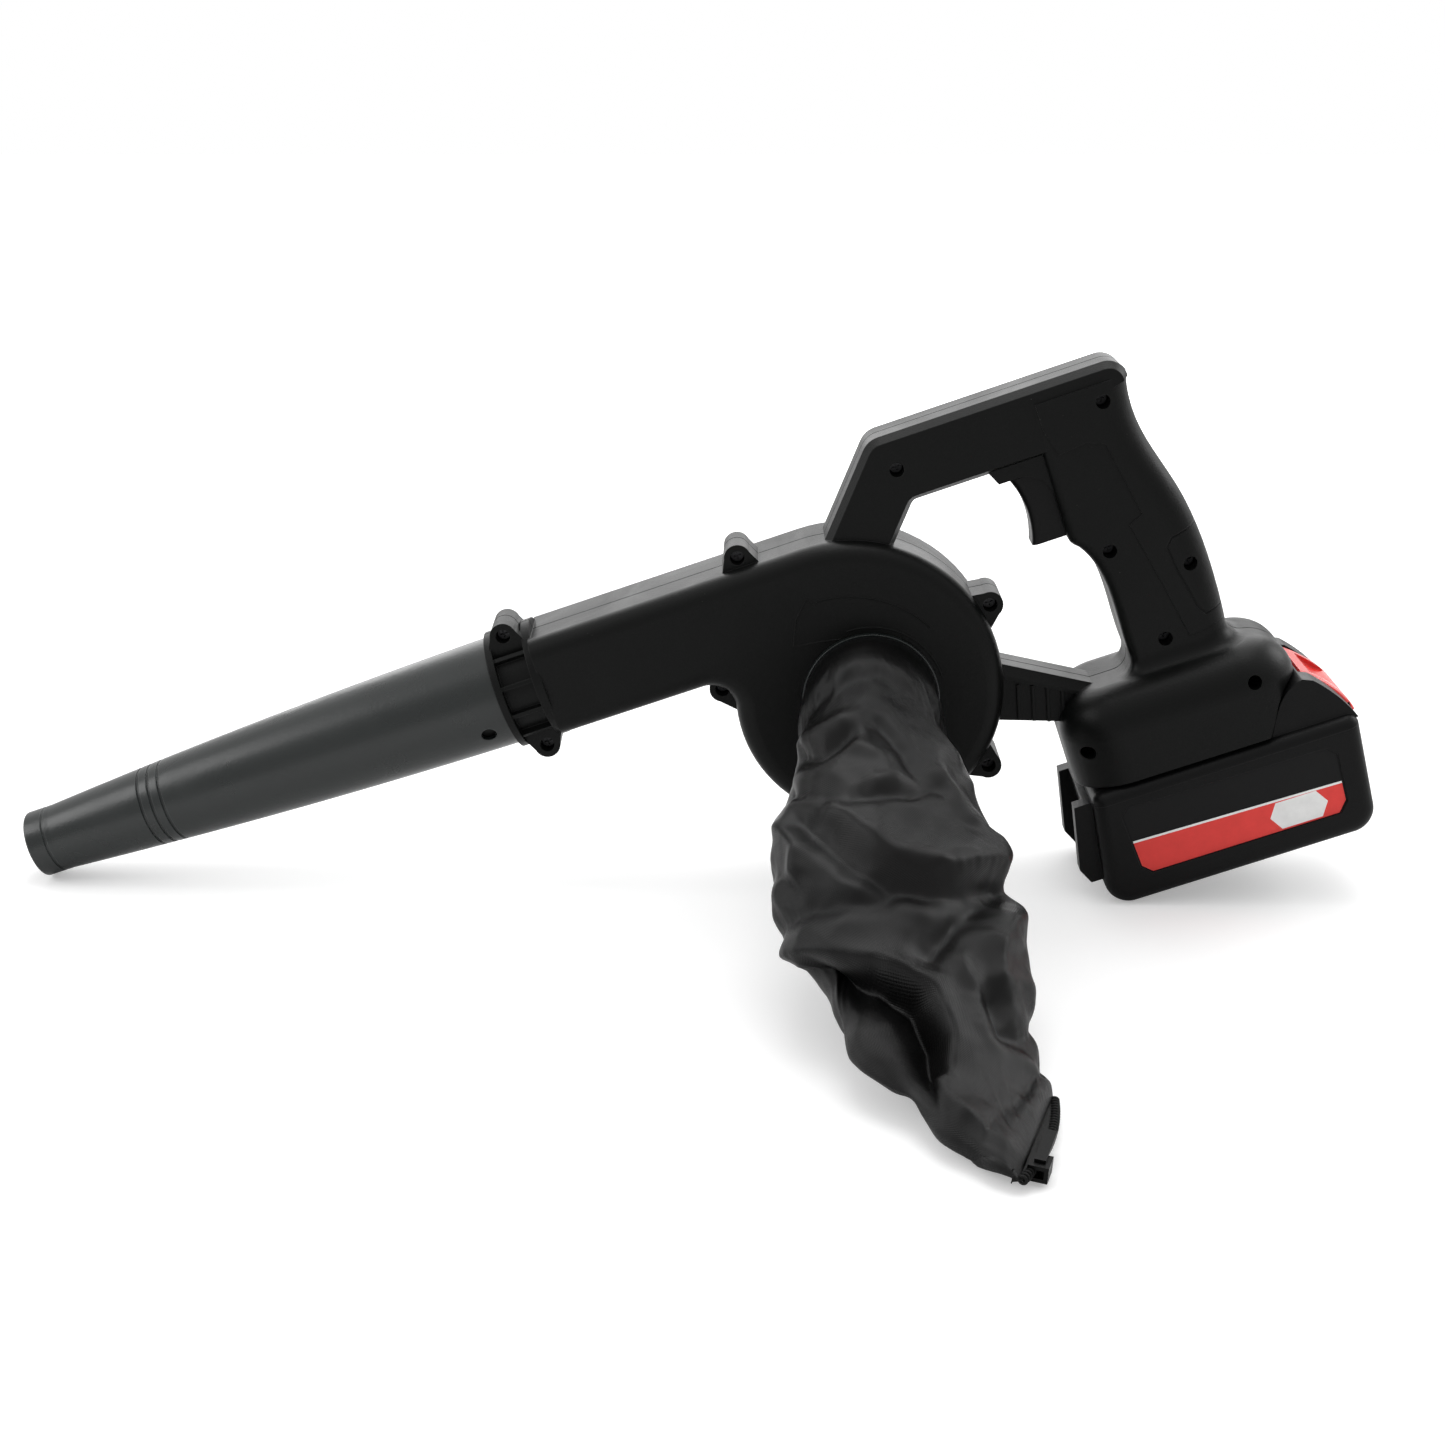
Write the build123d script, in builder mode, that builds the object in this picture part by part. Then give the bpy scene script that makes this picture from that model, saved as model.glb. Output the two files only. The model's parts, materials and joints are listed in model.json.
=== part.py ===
"""Cordless leaf blower with dust bag and slide-on battery, in millimetres.

The tool stands as photographed: on the rim of its nozzle and the front corner of its battery.
"""
import os
from math import asin, atan2, cos, degrees, hypot, radians, sin, tan

from build123d import *

os.makedirs("parts", exist_ok=True)

# Side view of the tool: u runs back along the air duct, v up, w towards the operator's left.
# The fan axis is the zero of u and v, and the parting plane of the housing is w = 0.

# Housing, scroll and duct
wall = 2.5
scroll_radius = 58.0
scroll_growth = 9.0
growth_angle = -23.4
left_depth = 25.0
right_depth = 27.0
casing_round = 8.0
duct_height = 44.0
duct_length = 132.0
tongue_round = 11.0
partition_depth = 8.0
partition_thickness = 3.0
eye_radius = 22.0
port_length = 13.0

# Collar in front of the duct, with the spigot that carries the nozzle
collar_length = 20.0
flange_radius = 26.5
flange_width = 3.0
barrel_radius = 22.6
spigot_radius = 21.8
spigot_length = 24.0
rib_count = 12
rib_width = 1.8

# Handle: sloping leg, arm, grip, strut and foot
leg_front = 3.6
leg_angle = 49.0
leg_width = 28.0
arm_top = 104.4
arm_bottom = 74.0
arm_end = 144.4
arm_half = 16.0
arm_bevel = 2.5
bevel_width = 5.0
cap_depth = 9.0
grip_half = 16.5
grip_swell = 0.8
grip_round = 12.0
grip_wall = 4.0
seam_width = 0.9
seam_depth = 0.6
strut_half = 13.0
strut_bevel = 3.8
foot_front = 73.0
foot_rear = 177.0
foot_top = -30.0
foot_bottom = -69.5
foot_half = 36.0
foot_corner = 24.0
foot_round = 18.0
foot_blend = 8.0

# Screws that close the housing
lug_radius = 5.75
lug_base = 10.5
lug_reach = 9.0
left_lug = 14.0
right_lug = 10.5
screw_seat = 6.0
screw_reach = 8.0
screw_radius = 1.5
head_radius = 2.7
head_height = 2.2
boss_radius = 4.4

# Nozzle
nozzle_length = 225.0
nozzle_wall = 2.2
nozzle_root = 24.3
nozzle_tip = 15.0
outlet_length = 30.0
tip_round = 0.8
snap_radius = 3.4

# Fan and motor
fan_radius = 46.0
blade_count = 9
blade_height = 21.0
blade_width = 1.8
shaft_radius = 2.5
motor_radius = 21.0
motor_length = 56.0
can_wall = 1.6
core_length = 30.0
dome_gap = 3.0
dome_length = 51.0
vent_count = 10

# Trigger and switch
trigger_half = 9.0
trigger_travel = 7.0

# Battery
battery_toe = 69.5
battery_heel = 191.0
toe_lean = 8.0
heel_lean = 4.5
battery_bottom = -124.0
battery_split = -76.0
battery_corner = 11.0
battery_side_round = 6.0
label_depth = 1.0
battery_wall = 2.0
deck_gap = 1.0
neck_half = 23.0
head_half = 28.0
head_front = 88.0
head_rear = 158.0
head_top = -58.5
rail_thickness = 3.0
cell_radius = 9.2
cell_length = 65.0
cell_pitch = 19.0
cell_gap = 20.2
end_room = 3.0
button_half = 20.0
button_travel = 4.0

# Dust bag
bag_wall = 1.0
bag_neck = 27.2
bag_sides = 14

# Clearances between pieces
fit = 0.4
slide_fit = 0.5
turn_fit = 0.05

# Sizes that follow from those above
grow_u = -scroll_growth * cos(radians(growth_angle))
grow_v = -scroll_growth * sin(radians(growth_angle))
duct_top = grow_v + scroll_radius + scroll_growth
duct_bottom = duct_top - duct_height
duct_axis = duct_top - duct_height / 2
collar_front = -duct_length - collar_length
nozzle_end = collar_front - nozzle_length
deck = foot_bottom - deck_gap
battery_half = cell_length / 2 + end_room + battery_wall

# Stance: the floor touches the nozzle rim and the battery's lower front corner
tip_u = nozzle_end + tip_round
tip_v = duct_axis - nozzle_tip + tip_round
corner_u = battery_toe + battery_corner / tan(radians(45 - toe_lean / 2))
corner_v = battery_bottom + battery_corner
span = hypot(corner_u - tip_u, corner_v - tip_v)
pitch = -(atan2(corner_v - tip_v, corner_u - tip_u) - asin((battery_corner - tip_round) / span))
fan_height = tip_round - sin(pitch) * tip_u - cos(pitch) * tip_v
reach_left = cos(pitch) * nozzle_end - sin(pitch) * (duct_axis + nozzle_tip)
heel_u = battery_heel - battery_corner / tan(radians(45 + heel_lean / 2))
reach_right = cos(pitch) * heel_u - sin(pitch) * corner_v + battery_corner

# Sections of the dust bag: place from the fan axis over the floor, heading, dip and half sizes
neck_outer = (bag_neck + bag_wall) / cos(radians(180 / bag_sides))
bag_sections = [
    (0, -29.5, fan_height, 0, 0, neck_outer, neck_outer),
    (-1.5, -45, fan_height - 1, 0, 6, neck_outer + 0.6, neck_outer + 0.6),
    (-0.5, -86, fan_height - 15, 2, 22, 38, 31),
    (1, -136, fan_height - 37, 6, 26, 48.5, 33),
    (13, -181, 32, 18, 24, 42, 23),
    (31, -223, 16, 48, 14, 35.5, 12),
    (45.5, -256, 5, 72, 4, 31, 2.2),
]
bag_end = bag_sections[-1]
bag_reach = bag_end[5] * sin(radians(bag_end[3])) - bag_end[1]
dome_end = right_depth + dome_length
fan_x = -(reach_left + reach_right) / 2
fan_y = (bag_reach - dome_end) / 2

tool = Plane(
    origin=(fan_x, fan_y, fan_height),
    x_dir=(cos(pitch), 0, sin(pitch)),
    z_dir=(0, -1, 0),
)
along = Axis(tool.origin, tool.x_dir)
lateral = Axis(tool.origin, tool.z_dir)
upward = Axis(tool.origin, tool.y_dir)
duct_line = Axis(tool.from_local_coords((0, duct_axis, 0)), tool.x_dir)


def layer(w):
    """Plane parallel to the parting plane, w towards the operator's left."""
    return tool.offset(w)


def across(u):
    """Plane square to the duct at u; its x is up and its y is to the left."""
    return Plane(
        origin=tool.from_local_coords((u, duct_axis, 0)), x_dir=tool.y_dir, z_dir=tool.x_dir
    )


def level(v, u=0):
    """Plane square to v; its x runs back along the tool."""
    return Plane(origin=tool.from_local_coords((u, v, 0)), x_dir=tool.x_dir, z_dir=tool.y_dir)


def side_faces(form):
    """The two faces of a form that look straight left and straight right."""
    faces = form.faces().sort_by(lateral)
    return [faces[0], faces[-1]]


def casing_form(side, depth, inset, rim):
    """Scroll and outlet duct of one housing half, drawn in by inset."""
    low = scroll_radius - inset
    high = scroll_radius + scroll_growth - inset
    floor = duct_bottom + inset
    tongue = 180 - degrees(asin(floor / low))
    with BuildPart() as form:
        with BuildSketch(tool) as outline:
            with BuildLine():
                scroll = CenterArc((0, 0), low, tongue, 360 + growth_angle - tongue)
                rise = CenterArc((grow_u, grow_v), high, growth_angle, 90 - growth_angle)
                Polyline(
                    rise @ 1,
                    (-duct_length, duct_top - inset),
                    (-duct_length, floor),
                    scroll @ 0,
                )
            make_face()
            corner = outline.vertices().sort_by_distance(scroll @ 0)[0]
            fillet(corner, tongue_round + inset)
        extrude(amount=side * depth)
        face = side_faces(form)[1 if side > 0 else 0]
        fillet(face.edges().sort_by(along)[1:], rim)
    return form.part


def arm_form(inset):
    """Leg and arm over the grip."""
    run = (arm_top - duct_top) / sin(radians(leg_angle))
    toe = (duct_top - 12) - duct_top
    slope = 1 / (sin(radians(leg_angle)) / cos(radians(leg_angle)))
    back = leg_front + leg_width / sin(radians(leg_angle))
    with BuildPart() as form:
        with BuildSketch(tool) as outline:
            with BuildLine():
                Polyline(
                    (leg_front + toe * slope, duct_top + toe),
                    (leg_front + run * cos(radians(leg_angle)), arm_top),
                    (arm_end, arm_top),
                    (arm_end, arm_top - cap_depth),
                    (arm_end - 14, arm_top - cap_depth - 4),
                    (arm_end - 14, arm_bottom),
                    (back + (arm_bottom - duct_top) * slope, arm_bottom),
                    (back - 26 * slope, duct_top - 26),
                    close=True,
                )
            make_face()
            points = outline.vertices()
            fillet(points.sort_by_distance((leg_front + run * 0.65, arm_top, 0))[0], 10)
            fillet(outline.vertices().sort_by_distance((arm_end, arm_top, 0))[0], 9)
            inner = (back + (arm_bottom - duct_top) * slope, arm_bottom, 0)
            fillet(outline.vertices().sort_by_distance(inner)[0], 4)
            if inset:
                offset(amount=-inset, mode=Mode.REPLACE)
        extrude(amount=arm_half - inset, both=True)
        if not inset:
            for face in side_faces(form):
                upper = face.edges().sort_by_distance(tool.from_local_coords((70, arm_top, 0)))[:4]
                chamfer(upper, arm_bevel, bevel_width, reference=face)
    return form.part


def grip_form(inset, half):
    """Grip between the arm and the foot."""
    front_points = [(104.5, 31.5), (109, 22), (111.4, 0), (118.5, -42)]
    rear_points = [(153.6, -42), (156.6, 2), (152, 42), (144.6, 68), (144.9, 97)]
    with BuildPart() as form:
        with BuildSketch(tool) as outline:
            with BuildLine():
                front = Spline([(u + inset, v) for u, v in front_points])
                rear = Spline([(u - inset, v) for u, v in rear_points])
                Polyline(front @ 1, rear @ 0)
                Polyline(rear @ 1, (101 + inset, 97), (101 + inset, 35), front @ 0)
            make_face()
            if not inset:
                fillet(outline.vertices().sort_by_distance((101, 35, 0))[0], 5)
        extrude(amount=half - inset, both=True)
        if not inset:
            for face in side_faces(form):
                fillet(face.edges().sort_by(along)[-1:], grip_round + half - grip_half)
            for face in side_faces(form):
                fillet(face.edges().sort_by(upward)[1:-1].sort_by(along)[:-1], 4)
    return form.part


def strut_form():
    """Brace from the scroll back to the foot, with a stiff rim and four short ribs."""
    with BuildPart() as form:
        with BuildSketch(tool):
            with BuildLine():
                Polyline((42, 1), (100, -34.2), (100, -48), (78, -42.7), (42, -29.4), close=True)
            make_face()
        extrude(amount=strut_half - 1.5, both=True)
        with BuildSketch(tool):
            with BuildLine():
                Polyline((42, 1), (100, -34.2), (100, -40.5), (42, -5.4), close=True)
            make_face()
            for step in range(4):
                with Locations((60 + 6 * step, -27 - 2.4 * step)):
                    Rectangle(1.4, 16, rotation=-14)
        extrude(amount=strut_half, both=True)
        for side in (strut_half, -strut_half):
            crest = tool.from_local_coords((71, -16.6, side))
            chamfer(form.edges().sort_by_distance(crest)[0], strut_bevel)
    return form.part


def foot_form(inset):
    """Foot that carries the battery, its rear cut back for the battery's shoulder."""
    middle = (foot_front + foot_rear) / 2
    with BuildPart() as form:
        with BuildSketch(level(foot_bottom, middle)):
            length = foot_rear - foot_front - 2 * inset
            RectangleRounded(length, 2 * (foot_half - inset), foot_corner - inset)
        extrude(amount=foot_top - foot_bottom - inset)
        fillet(form.faces().sort_by(upward)[-1].edges(), foot_round - inset)
        with BuildSketch(tool):
            with BuildLine():
                curve = Spline(
                    (176 - inset, -49),
                    (165 - inset, -56),
                    (160.5 - inset, -63.5),
                    (157 - inset, foot_bottom),
                )
                Polyline(
                    curve @ 1,
                    (157, foot_bottom - 5),
                    (foot_rear + 5, foot_bottom - 5),
                    (foot_rear + 5, -49),
                    curve @ 0,
                )
            make_face()
        extrude(amount=foot_half + 5, both=True, mode=Mode.SUBTRACT)
    return form.part


lugs = [
    (-142.0, duct_top + 4.2, 270),
    (-141.0, duct_bottom - 4.2, 90),
    (-35.0, duct_top + 4.2, 270),
    (-60.0, duct_bottom - 5.2, 340),
    (61.0, 19.8, 198),
    (39.0, -50.0, 128),
]
posts = [(41.0, 89.5), (131.0, 89.3), (147.0, 10.3), (116.0, 26.5), (128.0, -18.6)]
foot_posts = [(157.0, -43.5), (81.5, -52.5)]
screw_places = [(lug[0], lug[1]) for lug in lugs] + posts + foot_posts


def collar_form():
    """Two flanges, the barrel between them and the spigot for the nozzle."""
    back = -duct_length
    with BuildPart() as form:
        with BuildSketch(tool):
            with BuildLine():
                Polyline(
                    (back + 1, duct_axis),
                    (back + 1, duct_axis + flange_radius),
                    (back - flange_width, duct_axis + flange_radius),
                    (back - flange_width, duct_axis + barrel_radius),
                    (collar_front + flange_width, duct_axis + barrel_radius),
                    (collar_front + flange_width, duct_axis + flange_radius),
                    (collar_front, duct_axis + flange_radius),
                    (collar_front, duct_axis + spigot_radius),
                    (collar_front - spigot_length, duct_axis + spigot_radius),
                    (collar_front - spigot_length, duct_axis),
                    close=True,
                )
            make_face()
        revolve(axis=duct_line)
        with BuildSketch(across(collar_front + 1)):
            with PolarLocations((flange_radius + barrel_radius) / 2 - 1, rib_count, start_angle=15):
                Rectangle(flange_radius - barrel_radius, rib_width)
        extrude(amount=collar_length - 2)
    return form.part


# Handle and collar as one solid, and the hollow inside the handle
with BuildPart() as swell:
    add(grip_form(0, grip_half + grip_swell))
    with BuildSketch(tool):
        with BuildLine():
            Polyline(
                (103.5, arm_top),
                (104, 85),
                (107.3, 73.6),
                (119.5, 75),
                (127, 72),
                (133.4, 37.7),
                (127, 34.9),
                (133.1, 6.4),
                (138.2, -20.5),
                (160, -18),
                (160, arm_top),
                close=True,
            )
        make_face()
    extrude(amount=grip_half + 5, both=True, mode=Mode.INTERSECT)

# Seam round the insert at the back of the grip, a groove in its skin
with BuildPart() as grip_core:
    add(grip_form(0, grip_half + grip_swell))
    offset(amount=-seam_depth)

with BuildPart() as seam:
    with BuildSketch(tool):
        with BuildLine():
            Polyline(
                (162, 26.5),
                (142.5, 24),
                (139.4, 20.5),
                (140.6, 10.2),
                (144.7, -8.4),
                (147.5, -13.2),
                (162, -12.4),
            )
        trace(line_width=seam_width)
    extrude(amount=grip_half + 5, both=True)
    add(grip_core.part, mode=Mode.SUBTRACT)

with BuildPart() as handle:
    add(grip_form(0, grip_half))
    add(foot_form(0))
    # the grip sweeps out into the foot
    base = handle.edges().filter_by_position(upward, foot_top - 0.1, foot_top + 0.1)
    base = base.filter_by_position(lateral, -grip_half - 0.1, grip_half + 0.1)
    fillet(base.sort_by(along)[:-3], foot_blend)
    add(swell.part)
    add(seam.part, mode=Mode.SUBTRACT)
    add(arm_form(0))
    add(strut_form())
    add(collar_form())
    # cheeks over the trigger
    with BuildSketch(tool):
        with BuildLine():
            Polyline((101, 55), (106, 55), (106, arm_bottom + 3), (76, arm_bottom + 3), (80, 68.6), (89, 68.6))
            ThreePointArc((89, 68.6), (97.5, 64.5), (101, 55))
        make_face()
    extrude(amount=12.5, both=True)

with BuildPart() as handle_hollow:
    add(arm_form(wall))
    add(grip_form(grip_wall, grip_half))
    add(foot_form(wall))
    add(casing_form(1, left_depth, 0, casing_round), mode=Mode.SUBTRACT)
    add(casing_form(-1, right_depth, 0, casing_round), mode=Mode.SUBTRACT)
    with BuildSketch(layer(-foot_half)):
        with Locations(*posts):
            Circle(boss_radius)
        with Locations(*foot_posts):
            Circle(boss_radius)
    extrude(amount=2 * foot_half, mode=Mode.SUBTRACT)
    # floor of the foot, that hooks under the battery's head
    with BuildSketch(level(foot_bottom)):
        with Locations(((foot_front + foot_rear) / 2, 0)):
            Rectangle(140, 2 * foot_half)
    extrude(amount=rail_thickness, mode=Mode.SUBTRACT)


# Openings that both halves share: bore, trigger slot and the battery's slideway
with BuildPart() as openings:
    with BuildSketch(across(collar_front - spigot_length - 1)):
        Circle(spigot_radius - wall)
    extrude(amount=spigot_length + collar_length + wall + 2)
    with BuildSketch(tool):
        with BuildLine():
            Polyline((80, 36.4), (80, 68.2), (106, 68.2), (106, 36.4), close=True)
        make_face()
    extrude(amount=trigger_half + fit, both=True)
    with BuildSketch(level(foot_bottom - 1)):
        with Locations(((head_front + 200) / 2 - 6, 0)):
            Rectangle(200 - head_front + 10, 2 * (neck_half + slide_fit))
    extrude(amount=rail_thickness + 2)
    with BuildSketch(level(foot_bottom + rail_thickness)):
        with Locations(((head_front + 200) / 2, 0)):
            Rectangle(200 - head_front + 2, 2 * (head_half + slide_fit))
    extrude(amount=head_top + slide_fit - foot_bottom - rail_thickness)


def lug_plates(length):
    """Screw lugs on the rim of one half, grown from the parting plane."""
    with BuildPart() as plates:
        with BuildSketch(tool):
            for u, v, inward in lugs:
                with Locations(Location((u, v, 0), (0, 0, inward))):
                    Circle(lug_radius)
                    Polygon(
                        (-1, lug_radius - 0.1),
                        (lug_reach, lug_base),
                        (lug_reach, -lug_base),
                        (-1, 0.1 - lug_radius),
                        align=None,
                    )
        extrude(amount=length)
    return plates.part


with BuildPart() as housing_left:
    add(handle.part)
    split(bisect_by=tool, keep=Keep.TOP)
    add(casing_form(1, left_depth, 0, casing_round))
    add(lug_plates(left_lug))
    # air inlet with the spigot for the dust bag
    with BuildSketch(layer(left_depth - wall)):
        Circle(eye_radius + wall)
    extrude(amount=port_length + wall)
    add(casing_form(1, left_depth - wall, wall, casing_round - wall), mode=Mode.SUBTRACT)
    with BuildSketch(layer(0)):
        Circle(eye_radius)
    extrude(amount=left_depth + port_length + 1, mode=Mode.SUBTRACT)
    add(handle_hollow.part, mode=Mode.SUBTRACT)
    add(openings.part, mode=Mode.SUBTRACT)
    with BuildSketch(layer(screw_seat)):
        with Locations(*screw_places):
            Circle(head_radius + fit)
    extrude(amount=foot_half + 5, mode=Mode.SUBTRACT)
    with BuildSketch(tool):
        with Locations(*screw_places):
            Circle(screw_radius + 0.1)
    extrude(amount=screw_seat + 1, mode=Mode.SUBTRACT)
housing_left.part.label = "housing_left"
export_step(housing_left.part, "parts/housing_left.step")

# Deeper part of the duct, beside the motor
with BuildPart() as deep:
    with BuildSketch(across(-duct_length)):
        with Locations((0, -right_depth / 2)):
            Rectangle(duct_height - 2 * wall, right_depth - 2 * wall)
    extrude(amount=duct_length - 54)
    fillet(side_faces(deep)[0].edges().filter_by(along), casing_round - wall)

dome_radius = motor_radius + dome_gap + wall
compartment = scroll_radius - wall - 4.5
with BuildPart() as housing_right:
    add(handle.part)
    split(bisect_by=tool, keep=Keep.BOTTOM)
    add(casing_form(-1, right_depth, 0, casing_round))
    add(lug_plates(-right_lug))
    # dome over the motor
    with BuildSketch(layer(-dome_end)):
        Circle(dome_radius)
    extrude(amount=dome_end - right_depth + wall)
    fillet(side_faces(housing_right)[0].edges(), 6)
    # fan chamber, in front of the partition
    add(casing_form(-1, partition_depth, wall, 0.5), mode=Mode.SUBTRACT)
    add(deep.part, mode=Mode.SUBTRACT)
    # motor compartment behind the partition
    with BuildSketch(layer(-partition_depth - partition_thickness)):
        Circle(compartment)
    extrude(amount=-(right_depth - wall - partition_depth - partition_thickness), mode=Mode.SUBTRACT)
    with BuildSketch(layer(-dome_end + wall)):
        Circle(motor_radius + dome_gap)
    extrude(amount=dome_end - right_depth + wall, mode=Mode.SUBTRACT)
    # partition: bearing hole and the two motor screws
    with BuildSketch(layer(-partition_depth - partition_thickness - 1)):
        Circle(9)
        with PolarLocations(14.5, 2):
            Circle(2.1)
    extrude(amount=partition_thickness + 2, mode=Mode.SUBTRACT)
    # vents round the dome and in its end
    with BuildSketch(layer(-dome_end + 13)):
        with PolarLocations(dome_radius, vent_count, start_angle=18):
            Rectangle(14, 4)
    extrude(amount=18, mode=Mode.SUBTRACT)
    with BuildSketch(layer(-dome_end - 1)):
        for row in range(-2, 3):
            with Locations((0, 7 * row)):
                SlotOverall(34 - 4 * abs(row), 2.6)
    extrude(amount=wall + 3, mode=Mode.SUBTRACT)
    add(handle_hollow.part, mode=Mode.SUBTRACT)
    add(openings.part, mode=Mode.SUBTRACT)
    with BuildSketch(layer(-screw_reach - 1)):
        with Locations(*screw_places):
            Circle(screw_radius + 0.1)
    extrude(amount=screw_reach + 2, mode=Mode.SUBTRACT)
housing_right.part.label = "housing_right"
export_step(housing_right.part, "parts/housing_right.step")

with BuildPart() as housing_screws:
    with BuildSketch(layer(-screw_reach)):
        with Locations(*screw_places):
            Circle(screw_radius)
    extrude(amount=screw_reach + screw_seat)
    with BuildSketch(layer(screw_seat)):
        with Locations(*screw_places):
            Circle(head_radius)
    extrude(amount=head_height)
    with BuildSketch(layer(screw_seat + head_height - 1.2)):
        with Locations(*screw_places):
            Rectangle(3.4, 0.8)
            Rectangle(0.8, 3.4)
    extrude(amount=2, mode=Mode.SUBTRACT)
housing_screws.part.label = "housing_screws"
export_step(housing_screws.part, "parts/housing_screws.step")

# Nozzle, slid over the spigot
sleeve_end = collar_front - spigot_length - 2
sleeve_radius = spigot_radius + fit
grooves = [(67, 0.8), (62, 0.8), (57, 0.8), (9, 0.6)]


def groove_radius(place):
    """Outside radius of the nozzle, place behind its tip."""
    return nozzle_tip + max(place - 12, 0) * 0.066


with BuildPart() as nozzle:
    with BuildSketch(tool):
        with BuildLine():
            root = (collar_front - fit, duct_axis + nozzle_root)
            lip = (nozzle_end + 12, duct_axis + nozzle_tip)
            outer = ThreePointArc(root, (collar_front - 90, duct_axis + 22.0), lip)
            Polyline(
                outer @ 1,
                (nozzle_end, duct_axis + nozzle_tip),
                (nozzle_end, duct_axis + nozzle_tip - nozzle_wall),
                (nozzle_end + outlet_length, duct_axis + nozzle_tip - nozzle_wall),
                (sleeve_end, duct_axis + spigot_radius - wall),
                (sleeve_end, duct_axis + sleeve_radius),
                (collar_front - fit, duct_axis + sleeve_radius),
                outer @ 0,
            )
        make_face()
    revolve(axis=duct_line)
    rim = nozzle.edges().filter_by(GeomType.CIRCLE).sort_by(along)[:2]
    fillet(rim.sort_by(SortBy.RADIUS)[-1], tip_round)
    # grooves round the outlet end
    with BuildSketch(tool):
        for place, depth in grooves:
            with Locations((nozzle_end + place, duct_axis + groove_radius(place) + 2 - depth)):
                Rectangle(1.4, 4)
    revolve(axis=duct_line, mode=Mode.SUBTRACT)
    # round hole for the snap button, low on the operator's side
    with BuildSketch(
        Plane(
            origin=tool.from_local_coords((collar_front - 10, duct_axis, 0)),
            x_dir=tool.x_dir,
            z_dir=tool.z_dir * cos(radians(29)) - tool.y_dir * sin(radians(29)),
        )
    ):
        Circle(snap_radius)
    extrude(amount=40, mode=Mode.SUBTRACT)
nozzle.part.label = "nozzle"
export_step(nozzle.part, "parts/nozzle.step")

# Fan on the motor shaft
back_plate = -partition_depth + head_height + 1.2
with BuildPart() as fan:
    with BuildSketch(layer(back_plate)):
        Circle(fan_radius)
    extrude(amount=1.6)
    with BuildSketch(layer(back_plate)):
        Circle(9)
    extrude(amount=14)
    with BuildSketch(layer(back_plate + 1)) as blades:
        with BuildLine():
            near = ThreePointArc((14, 0), (30, -5), (44.5, -17))
            far = ThreePointArc((14, blade_width), (30.6, -5 + blade_width), (45.4, -17 + blade_width))
            Line(near @ 0, far @ 0)
            Line(near @ 1, far @ 1)
        blade = make_face()
        for turn in range(1, blade_count):
            add(blade.rotate(Axis.Z, 360 * turn / blade_count))
    extrude(amount=blade_height)
    with BuildSketch(layer(back_plate - 1)):
        Circle(shaft_radius + turn_fit)
    extrude(amount=30, mode=Mode.SUBTRACT)
fan.part.label = "fan"
export_step(fan.part, "parts/fan.step")

hub_top = back_plate + 14
with BuildPart() as fan_nut:
    with BuildSketch(layer(hub_top)):
        RegularPolygon(4.6, 6)
        Circle(shaft_radius + turn_fit, mode=Mode.SUBTRACT)
    extrude(amount=3.2)
fan_nut.part.label = "fan_nut"
export_step(fan_nut.part, "parts/fan_nut.step")

motor_front = -partition_depth - partition_thickness
motor_rear = motor_front - motor_length
bearing_width = 5.0
bearing_radius = 8.0
with BuildPart() as motor_can:
    with BuildSketch(layer(motor_rear)):
        Circle(motor_radius)
        Circle(motor_radius - can_wall, mode=Mode.SUBTRACT)
    extrude(amount=motor_length)
    with BuildSketch(layer(motor_front - 3)):
        Circle(motor_radius)
        Circle(bearing_radius + 0.05, mode=Mode.SUBTRACT)
        with PolarLocations(14.5, 2):
            Circle(1.7, mode=Mode.SUBTRACT)
    extrude(amount=3)
    with BuildSketch(layer(motor_front - 3)):
        Circle(8.8)
        Circle(bearing_radius + 0.05, mode=Mode.SUBTRACT)
    extrude(amount=bearing_width)
motor_can.part.label = "motor_can"
export_step(motor_can.part, "parts/motor_can.step")

with BuildPart() as motor_screws:
    with BuildSketch(layer(motor_front - 6)):
        with PolarLocations(14.5, 2):
            Circle(1.6)
    extrude(amount=6 + partition_thickness)
    with BuildSketch(layer(-partition_depth)):
        with PolarLocations(14.5, 2):
            Circle(3.2)
    extrude(amount=head_height)
motor_screws.part.label = "motor_screws"
export_step(motor_screws.part, "parts/motor_screws.step")

core_rear = motor_front - 9 - core_length
magnet_inner = 15.4
with BuildPart() as motor_magnets:
    with BuildSketch(layer(core_rear)):
        Circle(motor_radius - can_wall)
        Circle(magnet_inner, mode=Mode.SUBTRACT)
        Rectangle(2 * motor_radius, 12, mode=Mode.SUBTRACT)
    extrude(amount=core_length)
motor_magnets.part.label = "motor_magnets"
export_step(motor_magnets.part, "parts/motor_magnets.step")

cap_thickness = 4.0
with BuildPart() as motor_end_cap:
    with BuildSketch(layer(motor_rear - cap_thickness)):
        Circle(motor_radius)
    extrude(amount=cap_thickness)
    with BuildSketch(layer(motor_rear)):
        with Locations((0, 10.5), (0, -10.5)):
            Rectangle(9, 7)
    extrude(amount=7)
    with BuildSketch(layer(motor_rear + 1)):
        Rectangle(4.6, 40)
    extrude(amount=4.6, mode=Mode.SUBTRACT)
    with BuildSketch(layer(motor_rear - cap_thickness - 3)):
        Circle(10.5)
    extrude(amount=3)
    with BuildSketch(layer(motor_rear - cap_thickness - 1.5)):
        Circle(bearing_radius + 0.05)
    extrude(amount=20, mode=Mode.SUBTRACT)
    with BuildSketch(layer(motor_rear - cap_thickness - 4)):
        Circle(4)
    extrude(amount=10, mode=Mode.SUBTRACT)
motor_end_cap.part.label = "motor_end_cap"
export_step(motor_end_cap.part, "parts/motor_end_cap.step")

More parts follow.
